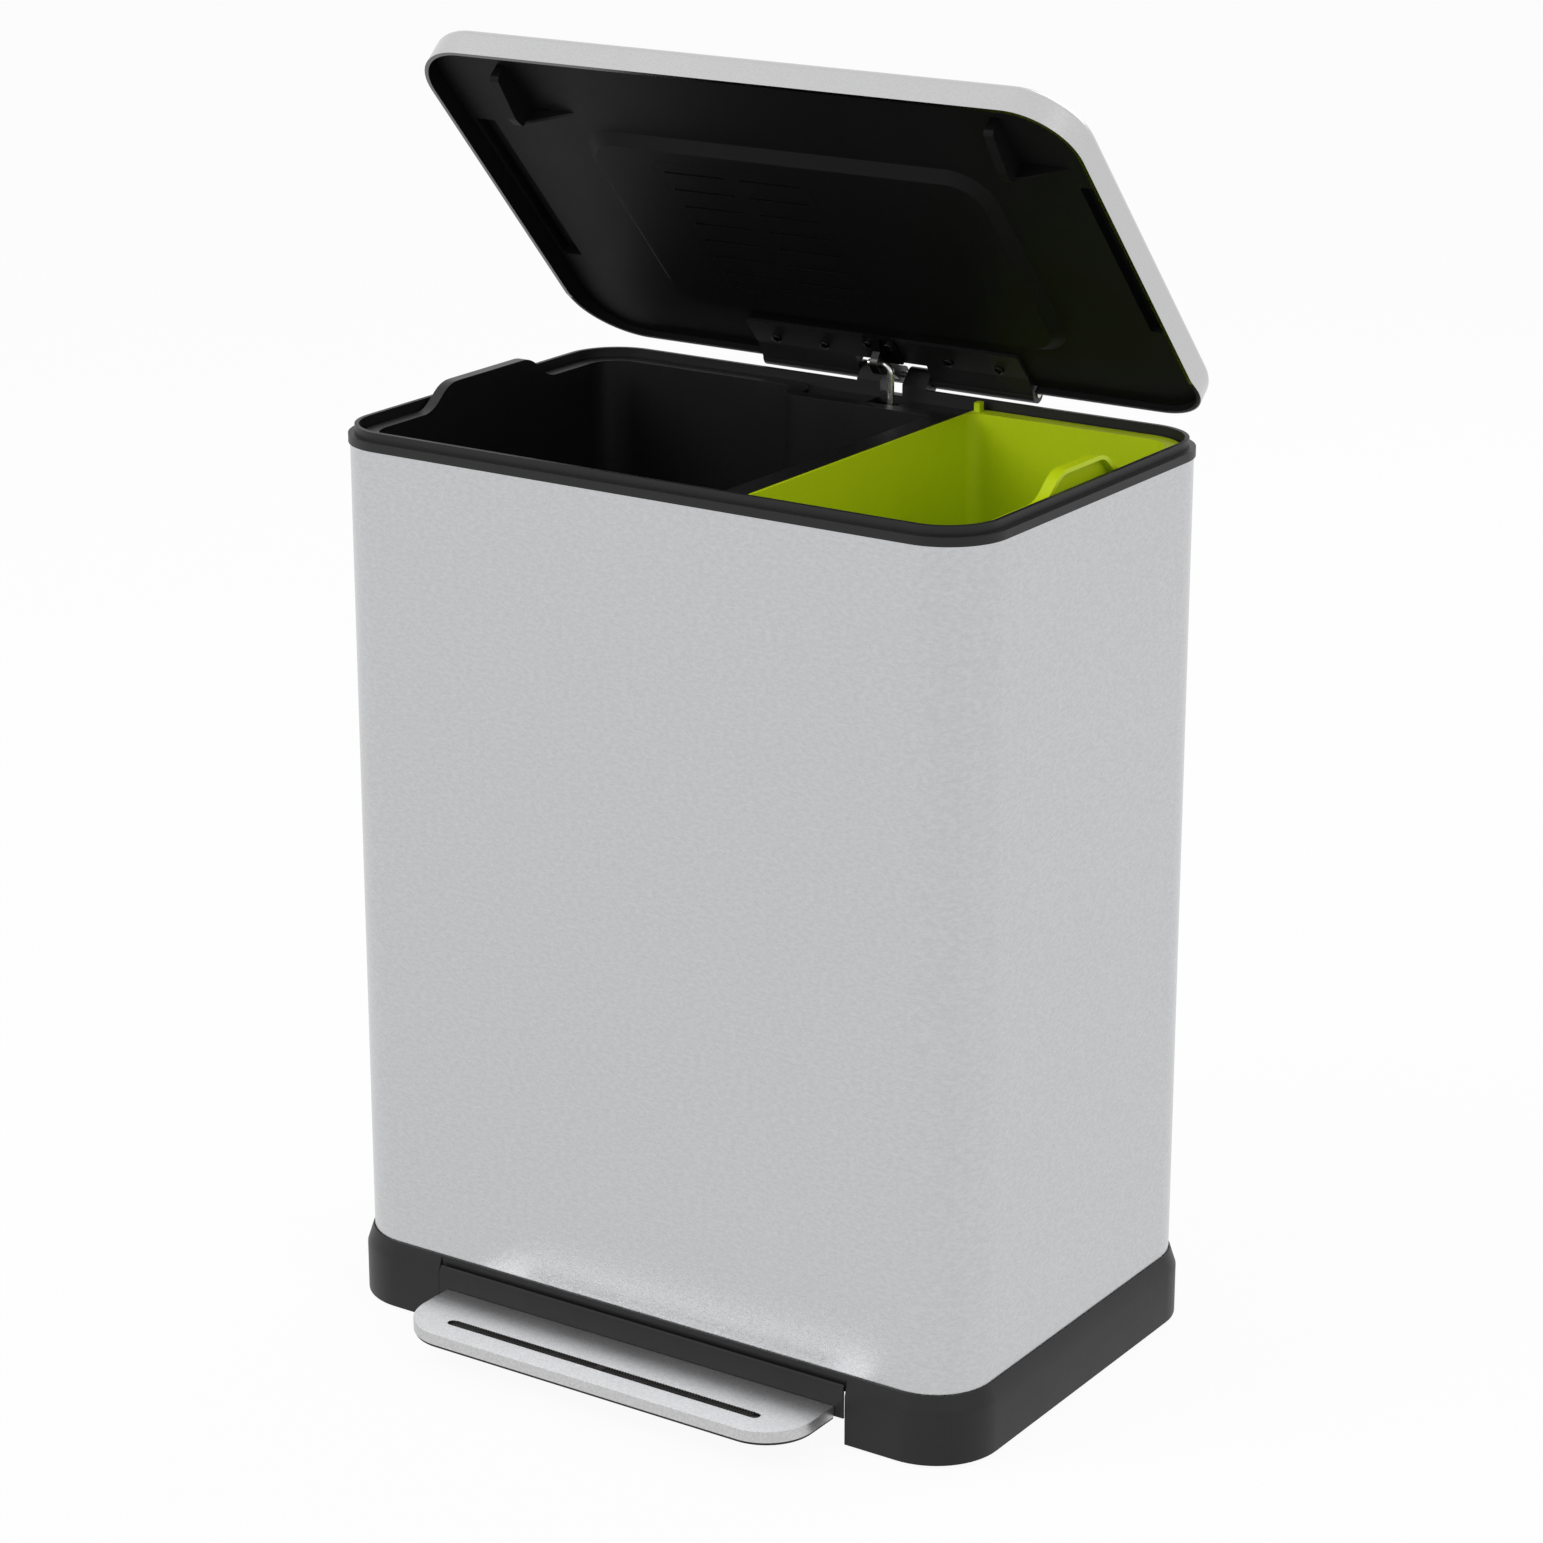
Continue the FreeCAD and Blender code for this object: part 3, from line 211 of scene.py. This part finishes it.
@dataclass(frozen=True)
class SatinSteel:
    """Stainless steel sheet, bead-blasted or finely brushed."""

    name: str
    tone: Colour
    roughness: float
    grain: Grain = Grain.LINEN
    speck: float = 0.04
    depth: float = 0.00004
    size: float = 430.0
    inside: Colour | None = None

    def material(self) -> bpy.types.Material:
        """Builds the material.

        Returns:
            A metal with speckled tone and roughness, and a fine bump.
        """
        pen = Pen(self.name)
        fine = pen.noise(pen.place(self.grain.value), self.size, 3.0, 0.75)
        broad = pen.noise(pen.place(), 9.0, 2.0)
        smear = pen.noise(pen.place((1.0, 1.0, 0.35)), 38.0, 3.0)
        dark = tuple(value * (1.0 - self.speck * 2.2) for value in self.tone)
        light = tuple(min(1.0, value * (1.0 + self.speck)) for value in self.tone)
        colour = pen.mix(fine.between(0.28, 0.74), dark, light)
        # Faces that point into the lid are darkened towards a fixed grey
        if self.inside:
            colour = self.darkened_inward(pen, colour)
        rough = (broad - 0.5) * 0.05 + (smear - 0.5) * 0.05 + (fine - 0.5) * 0.10 + self.roughness
        sockets = {"Base Color": colour, "Metallic": 1.0, "Roughness": rough,
                   "Normal": pen.bump(fine, self.depth, 0.9)}
        return pen.finish(pen.node("ShaderNodeBsdfPrincipled", None, sockets))

    def darkened_inward(self, pen: Pen, colour: Signal) -> Signal:
        """Darkens the faces of the sheet that point into the lid.

        Args:
            pen: the material's pen.
            colour: the sheet's colour elsewhere.

        Returns:
            The colour of both sides.
        """
        facing = pen.node("ShaderNodeTexCoord", out="Normal")
        inward = pen.node("ShaderNodeVectorMath", {"operation": "DOT_PRODUCT"},
                          {0: facing, 1: self.inside}, "Value")
        # Blends to the fixed grey as the face turns to point into the lid
        sockets = {0: inward.between(0.45, 0.7), MIX_FIRST: colour, MIX_SECOND: INWARD_GREY}
        return pen.node("ShaderNodeMix", {"data_type": "RGBA", "blend_type": "MIX"}, sockets, MIX_COLOUR)


@dataclass(frozen=True)
class MouldedPlastic:
    """Polypropylene from a mould with a fine spark-eroded grain."""

    name: str
    colour: Colour
    roughness: float
    grain: float = 0.00006
    shade: float = 0.12
    gloss: float = 0.32

    def material(self) -> bpy.types.Material:
        """Builds the material.

        Returns:
            A plastic with grain in its bump and roughness, and slight flow marks in its tone.
        """
        pen = Pen(self.name)
        place = pen.place()
        grain = pen.cells(place, 900.0) * 0.7 + pen.noise(place, 1900.0, 2.0) * 0.3
        flow = pen.noise(pen.place((1.0, 1.0, 0.4)), 14.0, 3.0)
        handled = pen.noise(place, 26.0, 4.0, 0.6)
        dark = tuple(value * (1.0 - self.shade) for value in self.colour)
        light = tuple(min(1.0, value * (1.0 + self.shade)) for value in self.colour)
        colour = pen.mix((flow * 0.6 + grain * 0.4).between(0.2, 0.75), dark, light)
        rough = (handled - 0.5) * 0.10 + (grain - 0.4) * 0.10 + self.roughness
        sockets = {"Base Color": colour, "Roughness": rough, "Specular IOR Level": self.gloss,
                   "Normal": pen.bump(grain, self.grain, 0.7)}
        return pen.finish(pen.node("ShaderNodeBsdfPrincipled", None, sockets))


@dataclass(frozen=True)
class PlatedSteel:
    """Zinc-plated steel of pins, rods and screws."""

    name: str
    tone: Colour = (0.62, 0.62, 0.6)
    roughness: float = 0.28

    def material(self) -> bpy.types.Material:
        """Builds the material.

        Returns:
            A metal with drawn streaks and faint passivation clouds.
        """
        pen = Pen(self.name)
        drawn = pen.noise(pen.place((0.1, 1.0, 0.1)), 900.0, 3.0)
        cloud = pen.noise(pen.place(), 60.0, 3.0)
        warm = (self.tone[0] * 0.9, self.tone[1] * 0.86, self.tone[2] * 0.74)
        sockets = {"Base Color": pen.mix(cloud.between(0.35, 0.75), self.tone, warm), "Metallic": 1.0,
                   "Roughness": (drawn - 0.5) * 0.16 + (cloud - 0.5) * 0.12 + self.roughness,
                   "Normal": pen.bump(drawn, 0.00003, 0.5)}
        return pen.finish(pen.node("ShaderNodeBsdfPrincipled", None, sockets))


@dataclass(frozen=True)
class MattRubber:
    """Soft rubber with a dusty bloom."""

    name: str
    colour: Colour = (0.018, 0.016, 0.014)

    def material(self) -> bpy.types.Material:
        """Builds the material.

        Returns:
            A matt dark surface with fine pores and bloom.
        """
        pen = Pen(self.name)
        pores = pen.cells(pen.place(), 1500.0)
        bloom = pen.noise(pen.place(), 45.0, 4.0)
        pale = tuple(value + 0.03 for value in self.colour)
        sockets = {"Base Color": pen.mix(bloom.between(0.4, 0.8), self.colour, pale),
                   "Roughness": (bloom - 0.5) * 0.15 + 0.68, "Specular IOR Level": 0.35,
                   "Normal": pen.bump(pores, 0.00005, 0.6)}
        return pen.finish(pen.node("ShaderNodeBsdfPrincipled", None, sockets))


@dataclass(frozen=True)
class CharcoalBoard:
    """Pressed charcoal granules."""

    name: str

    def material(self) -> bpy.types.Material:
        """Builds the material.

        Returns:
            A rough black surface of granules.
        """
        pen = Pen(self.name)
        grains = pen.cells(pen.place(), 620.0)
        tint = pen.mix(grains.between(0.1, 0.6), (0.045, 0.045, 0.047), (0.008, 0.008, 0.008))
        sockets = {"Base Color": tint, "Roughness": grains * 0.2 + 0.7,
                   "Normal": pen.bump(1.0 - grains, 0.0005, 0.8)}
        return pen.finish(pen.node("ShaderNodeBsdfPrincipled", None, sockets))


class Finishes:
    """The finishes of the bin, each built once."""

    def __init__(self) -> None:
        """Builds every finish."""
        self.sleeve = SatinSteel("sleeve_steel", (0.56, 0.565, 0.575), 0.27, depth=0.00006).material()
        self.lid = SatinSteel("lid_steel", (0.56, 0.56, 0.565), 0.26, speck=0.02, depth=0.000008,
                              size=900.0, inside=INSIDE_LID).material()
        self.tread = SatinSteel("tread_steel", (0.58, 0.58, 0.585), 0.38, Grain.EVEN, speck=0.08,
                                depth=0.00003, size=700.0).material()
        self.black = MouldedPlastic("black_moulding", (0.009, 0.009, 0.0095), 0.46).material()
        self.bucket = MouldedPlastic("black_bucket_moulding", (0.007, 0.007, 0.0075), 0.38).material()
        self.lime = MouldedPlastic("lime_moulding", (0.52, 0.66, 0.004), 0.42, shade=0.05).material()
        self.liner = MouldedPlastic("liner_moulding", (0.007, 0.007, 0.0075), 0.5, gloss=0.09).material()
        self.plated = PlatedSteel("plated_steel").material()
        self.blackened = PlatedSteel("blackened_steel", (0.05, 0.05, 0.052), 0.34).material()
        self.rubber = MattRubber("matt_rubber").material()
        self.charcoal = CharcoalBoard("charcoal_board").material()


# --- modelling ---


def alone(piece: bpy.types.Object) -> None:
    """Selects only this piece and makes it the active one."""
    bpy.ops.object.select_all(action="DESELECT")
    piece.select_set(True)
    bpy.context.view_layer.objects.active = piece


def wear(piece: bpy.types.Object, finish: bpy.types.Material) -> None:
    """Gives the piece one finish all over."""
    piece.data.materials.clear()
    piece.data.materials.append(finish)


def softened(node: str, body: str, edge: float, segments: int = 2,
             limit: float = 32.0) -> bpy.types.Object:
    """Makes a copy of a CAD node whose sharp edges are rounded as a mould or a press rounds them.

    Args:
        node: the CAD node that the piece stands for.
        body: the body it rides on.
        edge: the width of the rounding, in metres.
        segments: how many faces go round an edge.
        limit: edges sharper than this angle, in degrees, are rounded.

    Returns:
        The new piece.
    """
    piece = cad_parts[node].copy()
    piece.data = piece.data.copy()
    piece.name = piece.data.name = f"{node}_moulded"
    for key in [key for key in piece.keys() if key.startswith("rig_")]:
        del piece[key]
    piece.parent = None
    bpy.context.scene.collection.objects.link(piece)
    alone(piece)
    bpy.ops.mesh.customdata_custom_splitnormals_clear()
    bpy.ops.object.mode_set(mode="EDIT")
    bpy.ops.mesh.select_all(action="SELECT")
    bpy.ops.mesh.remove_doubles(threshold=0.000002)
    bpy.ops.mesh.mark_sharp(clear=True)
    bpy.ops.mesh.dissolve_limited(angle_limit=math.radians(0.4))
    bpy.ops.object.mode_set(mode="OBJECT")
    bevel = piece.modifiers.new("edges", "BEVEL")
    bevel.width, bevel.segments = edge, segments
    bevel.limit_method, bevel.angle_limit = "ANGLE", math.radians(limit)
    bevel.miter_outer = "MITER_ARC"
    bevel.use_clamp_overlap = True
    bpy.ops.object.modifier_apply(modifier="edges")
    bpy.ops.object.shade_smooth_by_angle(angle=math.radians(40.0))
    weigh = piece.modifiers.new("even", "WEIGHTED_NORMAL")
    weigh.mode, weigh.weight, weigh.keep_sharp = "FACE_AREA", 60, True
    bpy.ops.object.modifier_apply(modifier="even")
    settle(piece, body, node)
    return piece


def settle(piece: bpy.types.Object, body: str, node: str) -> None:
    """Puts a finished piece in the place of a CAD node.

    Args:
        piece: the finished piece.
        body: the body it rides on.
        node: the CAD node that it stands for.
    """
    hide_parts(node)
    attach(piece, body)


def join(pieces: list[bpy.types.Object], name: str) -> bpy.types.Object:
    """Joins pieces into one mesh at the origin.

    Args:
        pieces: what is joined.
        name: the name of the result.

    Returns:
        The joined piece.
    """
    bpy.ops.object.select_all(action="DESELECT")
    for piece in pieces:
        piece.select_set(True)
    bpy.context.view_layer.objects.active = pieces[0]
    bpy.ops.object.transform_apply(location=True, rotation=True, scale=True)
    if len(pieces) > 1:
        bpy.ops.object.join()
    joined = bpy.context.object
    joined.name = joined.data.name = name
    return joined


def round_edges(piece: bpy.types.Object, width: float, segments: int = 3, angle: float = 40.0) -> None:
    """Rounds a piece's sharp edges for good.

    Args:
        piece: the piece.
        width: the rounding's width, in metres.
        segments: how many faces go round an edge.
        angle: edges sharper than this, in degrees, are rounded.
    """
    alone(piece)
    bevel = piece.modifiers.new("edges", "BEVEL")
    bevel.width, bevel.segments = width, segments
    bevel.limit_method, bevel.angle_limit = "ANGLE", math.radians(angle)
    bpy.ops.object.modifier_apply(modifier="edges")
    bpy.ops.object.shade_smooth_by_angle(angle=math.radians(45.0))


# --- the bin ---


@dataclass
class SubAssembly:
    """Pieces that are made together, by the name of the CAD node that each is or stands for."""

    finishes: Finishes
    pieces: dict[str, bpy.types.Object] = field(default_factory=dict)

    def build(self) -> None:
        """Makes the pieces."""

    def dress(self) -> None:
        """Gives each piece its finish."""

    def soften(self, body: str, slot: str, edges: dict[str, float]) -> None:
        """Rounds the edges of several moulded nodes.

        Args:
            body: the body they ride on.
            slot: the record's material slot; not used.
            edges: the width of the rounding for each node, in metres.
        """
        for node, edge in edges.items():
            self.pieces[node] = softened(node, body, edge)

    def take(self, *nodes: str) -> None:
        """Takes CAD nodes over as they are."""
        self.pieces.update({node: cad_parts[node] for node in nodes})

    def wear(self, finish: bpy.types.Material, *nodes: str) -> None:
        """Gives these pieces one finish."""
        for node in nodes:
            wear(self.pieces[node], finish)

    def report(self) -> None:
        """Logs each piece."""
        for node, piece in self.pieces.items():
            log.info("%s: %s, %d faces", node, piece.name, len(piece.data.polygons))


@dataclass
class Screws:
    """Pan-head screws with a crossed recess, one shape for all the bin's screws."""

    head: float = 0.0036
    rise: float = 0.0022
    shank: float = 0.0018
    recess: float = 0.0044
    recess_width: float = 0.0009
    recess_depth: float = 0.0012
    pitch: float = 0.0008

    def pattern(self, length: float) -> bpy.types.Object:
        """Models one screw: its seat is at the origin, its head above and its shank below.

        Args:
            length: the shank's length.

        Returns:
            The screw.
        """
        bpy.ops.object.select_all(action="DESELECT")
        bpy.ops.mesh.primitive_cylinder_add(vertices=24, radius=self.head, depth=self.rise * 0.8,
                                            location=(0.0, 0.0, self.rise * 0.4))
        head = bpy.context.object
        bpy.ops.object.mode_set(mode="EDIT")
        pick_faces(head, lambda face: face.normal.z > 0.9)
        bpy.ops.mesh.inset(thickness=self.head * 0.35, depth=self.rise * 0.2)
        bpy.ops.object.mode_set(mode="OBJECT")
        for turn in (0.0, 90.0):
            bpy.ops.mesh.primitive_cube_add(size=1.0, location=(0.0, 0.0, self.rise),
                                            rotation=(0.0, 0.0, math.radians(turn)))
            blade = bpy.context.object
            blade.scale = (self.recess, self.recess_width, self.recess_depth * 2)
            cut = head.modifiers.new("recess", "BOOLEAN")
            cut.operation, cut.object, cut.solver = "DIFFERENCE", blade, "EXACT"
            alone(head)
            bpy.ops.object.modifier_apply(modifier="recess")
            bpy.data.objects.remove(blade)
        round_edges(head, 0.00015, 2)
        return join([head, self.thread(length)], "screw_pattern")

    def thread(self, length: float) -> bpy.types.Object:
        """Models the shank: a ring for each turn of the thread, and a point.

        Args:
            length: the shank's length.

        Returns:
            The shank.
        """
        bpy.ops.object.select_all(action="DESELECT")
        bpy.ops.mesh.primitive_cylinder_add(vertices=16, radius=self.shank * 0.8, depth=self.pitch,
                                            location=(0.0, 0.0, -self.pitch / 2))
        shank = bpy.context.object
        for _ in range(int(length / self.pitch) - 2):
            for grow in (1.25, 0.8):
                bpy.ops.object.mode_set(mode="EDIT")
                pick_faces(shank, lambda face: face.normal.z < -0.9)
                bpy.ops.mesh.extrude_region_move(
                    TRANSFORM_OT_translate={"value": (0.0, 0.0, -self.pitch / 2)})
                bpy.ops.transform.resize(value=(grow, grow, 1.0), center_override=(0.0, 0.0, 0.0))
                bpy.ops.object.mode_set(mode="OBJECT")
        return shank

    def fit(self, node: str, body: str, out: Vector) -> bpy.types.Object:
        """Puts a screw where each solid of the CAD node is.

        Args:
            node: the CAD node of the group.
            body: the body they ride on.
            out: the direction that the heads face.

        Returns:
            The group of screws.
        """
        spots = [self.measure(island, out) for island in islands(node)]
        pattern = self.pattern(spots[0][1])
        turn = Vector((0.0, 0.0, 1.0)).rotation_difference(out)
        copies = []
        for seat, _ in spots:
            screw = pattern.copy()
            screw.data = pattern.data.copy()
            bpy.context.scene.collection.objects.link(screw)
            screw.rotation_mode = "QUATERNION"
            screw.rotation_quaternion, screw.location = turn, seat
            copies.append(screw)
        bpy.data.objects.remove(pattern)
        group = join(copies, f"{node}_turned")
        settle(group, body, node)
        return group

    def measure(self, island: list[Vector], out: Vector) -> tuple[Vector, float]:
        """Finds a screw's seat and its shank's length.

        Args:
            island: the points of one solid.
            out: the direction that its head faces.

        Returns:
            The seat's middle and the shank's length.
        """
        ends = [point.dot(out) for point in island]
        top, length = max(ends), max(ends) - min(ends) - self.rise
        rim = [point for point in island if point.dot(out) > top - self.rise * 0.5]
        middle = sum(rim, Vector()) / len(rim)
        return middle + out * (top - self.rise - middle.dot(out)), length


def pick_faces(piece: bpy.types.Object, choose: Callable[[bpy.types.MeshPolygon], bool]) -> None:
    """Selects the faces that choose picks, and no others, and stays in edit mode.

    Args:
        piece: the piece in edit mode.
        choose: tells which faces are wanted.
    """
    bpy.ops.object.mode_set(mode="OBJECT")
    mesh = piece.data
    mesh.vertices.foreach_set("select", [False] * len(mesh.vertices))
    mesh.edges.foreach_set("select", [False] * len(mesh.edges))
    for face in mesh.polygons:
        face.select = choose(face)
    bpy.ops.object.mode_set(mode="EDIT")
    bpy.ops.mesh.select_mode(type="FACE")


def islands(node: str) -> list[list[Vector]]:
    """The points of each separate solid in a CAD node.

    Args:
        node: the CAD node.

    Returns:
        One list of points for each solid.
    """
    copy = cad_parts[node].copy()
    copy.data = copy.data.copy()
    bpy.context.scene.collection.objects.link(copy)
    alone(copy)
    bpy.ops.object.mode_set(mode="EDIT")
    bpy.ops.mesh.select_all(action="SELECT")
    bpy.ops.mesh.remove_doubles(threshold=0.000002)
    bpy.ops.mesh.separate(type="LOOSE")
    bpy.ops.object.mode_set(mode="OBJECT")
    loose = list(bpy.context.selected_objects)
    groups = [[vertex.co.copy() for vertex in piece.data.vertices] for piece in loose]
    for piece in loose:
        bpy.data.objects.remove(piece)
    return sorted(groups, key=lambda points: (round(points[0].x, 3), round(points[0].y, 3)))


@dataclass
class Body(SubAssembly):
    """Steel sleeve on its base, with the rim, the hinge's fixed half and what stands inside."""

    base_edge: float = 0.0006
    rim_edge: float = 0.0005
    cover_edge: float = 0.0004

    def build(self) -> None:
        """Makes the pieces of the body."""
        self.take("steel_sleeve", "rubber_feet", "hinge_pin", "pedal_axle", "axle_clips",
                  "damper_foot", "damper_cylinder", "damper_cap")
        self.soften("body", "black_plastic", {"base_tray": self.base_edge, "top_rim": self.rim_edge,
                                              "rod_cover": self.cover_edge})
        self.pieces["cover_screws"] = Screws().fit("cover_screws", "body", Vector((0.0, 0.0, 1.0)))
        self.pieces["damper_screw"] = Screws().fit("damper_screw", "body", Vector((0.0, 0.0, -1.0)))

    def dress(self) -> None:
        """Steel outside, black mouldings, plated pins."""
        look = self.finishes
        self.wear(look.sleeve, "steel_sleeve")
        self.wear(look.black, "base_tray", "top_rim", "rod_cover", "damper_foot", "damper_cylinder",
                  "damper_cap")
        self.wear(look.rubber, "rubber_feet")
        self.wear(look.plated, "hinge_pin", "pedal_axle", "axle_clips", "cover_screws", "damper_screw")


@dataclass
class Buckets(SubAssembly):
    """The two lift-out buckets."""

    edge: float = 0.0007

    def build(self) -> None:
        """Makes both buckets."""
        self.soften("large_bucket", "black_plastic", {"black_bucket": self.edge})
        self.soften("small_bucket", "lime_plastic", {"lime_bucket": self.edge})

    def dress(self) -> None:
        """Black and lime."""
        self.wear(self.finishes.bucket, "black_bucket")
        self.wear(self.finishes.lime, "lime_bucket")


@dataclass
class Lid(SubAssembly):
    """Steel lid with its liner, vent, hinge strip and crank."""

    liner_edge: float = 0.0006
    hinge_edge: float = 0.0005

    def build(self) -> None:
        """Makes the lid's pieces."""
        self.take("lid_skin", "vent_cover", "odour_filter", "lid_crank")
        self.soften("lid", "black_plastic", {"lid_liner": self.liner_edge, "lid_hinge": self.hinge_edge})
        for node in ("hinge_screws", "crank_screws"):
            self.pieces[node] = Screws().fit(node, "lid", Vector(INSIDE_LID))

    def dress(self) -> None:
        """Steel outside, black inside."""
        look = self.finishes
        self.wear(look.lid, "lid_skin")
        self.wear(look.liner, "lid_liner", "vent_cover")
        self.wear(look.black, "lid_hinge")
        self.wear(look.charcoal, "odour_filter")
        self.wear(look.blackened, "hinge_screws", "crank_screws", "lid_crank")


@dataclass
class Drive(SubAssembly):
    """Push rod and the moving half of the damper."""

    clamp_edge: float = 0.0005

    def build(self) -> None:
        """Makes the drive."""
        self.take("push_rod", "damper_rod")
        self.soften("drive_rod", "black_plastic", {"rod_clamp": self.clamp_edge})

    def dress(self) -> None:
        """Plated rods in a black clamp."""
        self.wear(self.finishes.plated, "push_rod", "damper_rod")
        self.wear(self.finishes.black, "rod_clamp")


@dataclass
class Pedal(SubAssembly):
    """Pedal: moulded body, steel tread, ribbed rubber strip, lever."""

    body_edge: float = 0.0005
    tread_edge: float = 0.0009
    rib_pitch: float = 0.0022
    rib_radius: float = 0.0005

    def build(self) -> None:
        """Makes the pedal's pieces."""
        self.take("pedal_lever")
        self.soften("pedal", "black_plastic", {"pedal_body": self.body_edge})
        self.soften("pedal", "brushed_steel", {"pedal_plate": self.tread_edge})
        self.pieces["pedal_screws"] = Screws().fit("pedal_screws", "pedal", Vector((0.0, 0.0, -1.0)))
        self.pieces["pedal_grip"] = self.strip()

    def strip(self) -> bpy.types.Object:
        """Models the rubber strip: a round-ended bar with fine ribs across its top.

        Returns:
            The strip.
        """
        low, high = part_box("pedal_grip")
        middle = [(low[axis] + high[axis]) / 2 for axis in range(3)]
        radius, reach = (high[1] - low[1]) / 2, (high[0] - low[0]) / 2 - (high[1] - low[1]) / 2
        top = high[2] - self.rib_radius
        bpy.ops.object.select_all(action="DESELECT")
        bpy.ops.mesh.primitive_circle_add(vertices=32, radius=radius, fill_type="NGON",
                                          location=(0.0, middle[1], low[2]))
        bar = bpy.context.object
        for side in (-1.0, 1.0):
            bpy.ops.object.mode_set(mode="OBJECT")
            for point in bar.data.vertices:
                point.select = point.co.x * side > -0.00001
            bpy.ops.object.mode_set(mode="EDIT")
            bpy.ops.mesh.select_mode(type="VERT")
            bpy.ops.transform.translate(value=(side * reach, 0.0, 0.0))
        bpy.ops.mesh.select_all(action="SELECT")
        bpy.ops.mesh.extrude_region_move(TRANSFORM_OT_translate={"value": (0.0, 0.0, top - low[2])})
        bpy.ops.mesh.select_all(action="SELECT")
        bpy.ops.mesh.normals_make_consistent(inside=False)
        bpy.ops.object.mode_set(mode="OBJECT")
        round_edges(bar, 0.0003, 2)
        count = int(2 * reach / self.rib_pitch)
        bpy.ops.object.select_all(action="DESELECT")
        bpy.ops.mesh.primitive_cylinder_add(
            vertices=10, radius=self.rib_radius, depth=2 * radius - 0.0012,
            location=(-(count - 1) * self.rib_pitch / 2, middle[1], top), rotation=(math.pi / 2, 0.0, 0.0))
        rib = bpy.context.object
        bpy.ops.object.transform_apply(location=True, rotation=True, scale=True)
        bpy.ops.object.shade_smooth_by_angle(angle=math.radians(40.0))
        row = rib.modifiers.new("row", "ARRAY")
        row.use_relative_offset, row.use_constant_offset = False, True
        row.constant_offset_displace, row.count = (self.rib_pitch, 0.0, 0.0), count
        bpy.ops.object.modifier_apply(modifier="row")
        strip = join([bar, rib], "pedal_grip_ribbed")
        settle(strip, "pedal", "pedal_grip")
        return strip

    def dress(self) -> None:
        """Steel tread on a black body."""
        look = self.finishes
        self.wear(look.black, "pedal_body")
        self.wear(look.tread, "pedal_plate")
        self.wear(look.rubber, "pedal_grip")
        self.wear(look.plated, "pedal_lever", "pedal_screws")


# --- studio ---


@dataclass
class Studio:
    """Pale floor, soft light and the camera."""

    eye: tuple[float, float, float] = (1.4988, -2.2150, 1.2815)
    yaw: float = 33.725
    pitch: float = 18.262
    lens: float = 97.63
    floor_size: float = 30.0
    floor_drop: float = 0.0004
    white_share: float = 0.94
    paper: Rgba = (0.85, 0.85, 0.85, 1.0)
    soft_light: float = 0.6
    aim: tuple[float, float, float] = (0.0, 0.0, 0.35)

    def build(self) -> None:
        """Sets up everything around the bin."""
        self.camera()
        self.floor()
        self.world()
        self.lamp("key", (-1.9, -2.4, 2.7), 2.4, 60.0)
        self.lamp("fill", (2.6, -0.9, 1.9), 1.6, 14.0)
        self.lamp("back", (0.4, 2.4, 2.3), 1.8, 22.0)
        bpy.context.scene.view_settings.view_transform = "Standard"

    def camera(self) -> None:
        """Places the camera at the photograph's angle."""
        data = bpy.data.cameras.new("camera")
        data.sensor_width, data.lens = 36.0, self.lens
        data.clip_start, data.clip_end = 0.05, 100.0
        camera = bpy.data.objects.new("camera", data)
        camera.location = self.eye
        camera.rotation_euler = (math.radians(90.0 - self.pitch), 0.0, math.radians(self.yaw))
        bpy.context.scene.collection.objects.link(camera)
        bpy.context.scene.camera = camera

    def floor(self) -> None:
        """Lays a plain pale floor: white to the eye and in reflections, with the bin's shadow on it."""
        bpy.ops.object.select_all(action="DESELECT")
        bpy.ops.mesh.primitive_plane_add(size=self.floor_size, location=(0.0, 0.0, -self.floor_drop))
        plane = bpy.context.object
        plane.name = "floor"
        pen = Pen("floor_paper")
        paper = pen.node("ShaderNodeBsdfDiffuse", None, {"Color": self.paper})
        white = pen.node("ShaderNodeEmission", None, {"Color": WHITE, "Strength": 1.0})
        sockets = {0: pen.shown() * self.white_share, 1: paper, 2: white}
        wear(plane, pen.finish(pen.node("ShaderNodeMixShader", None, sockets)))

    def world(self) -> None:
        """Lights evenly from all round, with white behind the bin."""
        pen = Pen("studio", world=True)
        soft = pen.node("ShaderNodeBackground", None, {"Color": WHITE, "Strength": self.soft_light})
        white = pen.node("ShaderNodeBackground", None, {"Color": WHITE, "Strength": 1.0})
        sockets = {0: pen.shown(), 1: soft, 2: white}
        bpy.context.scene.world = pen.finish(pen.node("ShaderNodeMixShader", None, sockets))

    def lamp(self, name: str, place: tuple[float, float, float], size: float, power: float) -> None:
        """Hangs a square soft box that looks at the middle of the bin.

        Args:
            name: the lamp's name.
            place: where it hangs.
            size: its side, in metres.
            power: its power, in watts.
        """
        data = bpy.data.lights.new(name, "AREA")
        data.shape, data.size, data.energy = "SQUARE", size, power
        lamp = bpy.data.objects.new(name, data)
        lamp.location = place
        lamp.rotation_euler = (Vector(self.aim) - Vector(place)).to_track_quat("-Z", "Y").to_euler()
        bpy.context.scene.collection.objects.link(lamp)


def main() -> None:
    """Builds the bin and its studio."""
    logging.basicConfig(level=logging.INFO, format="%(name)s: %(message)s")
    finishes = Finishes()
    for part in (Body(finishes), Buckets(finishes), Lid(finishes), Drive(finishes), Pedal(finishes)):
        part.build()
        part.dress()
        part.report()
    Studio().build()
    bpy.context.view_layer.update()


if __name__ == "__main__":
    main()
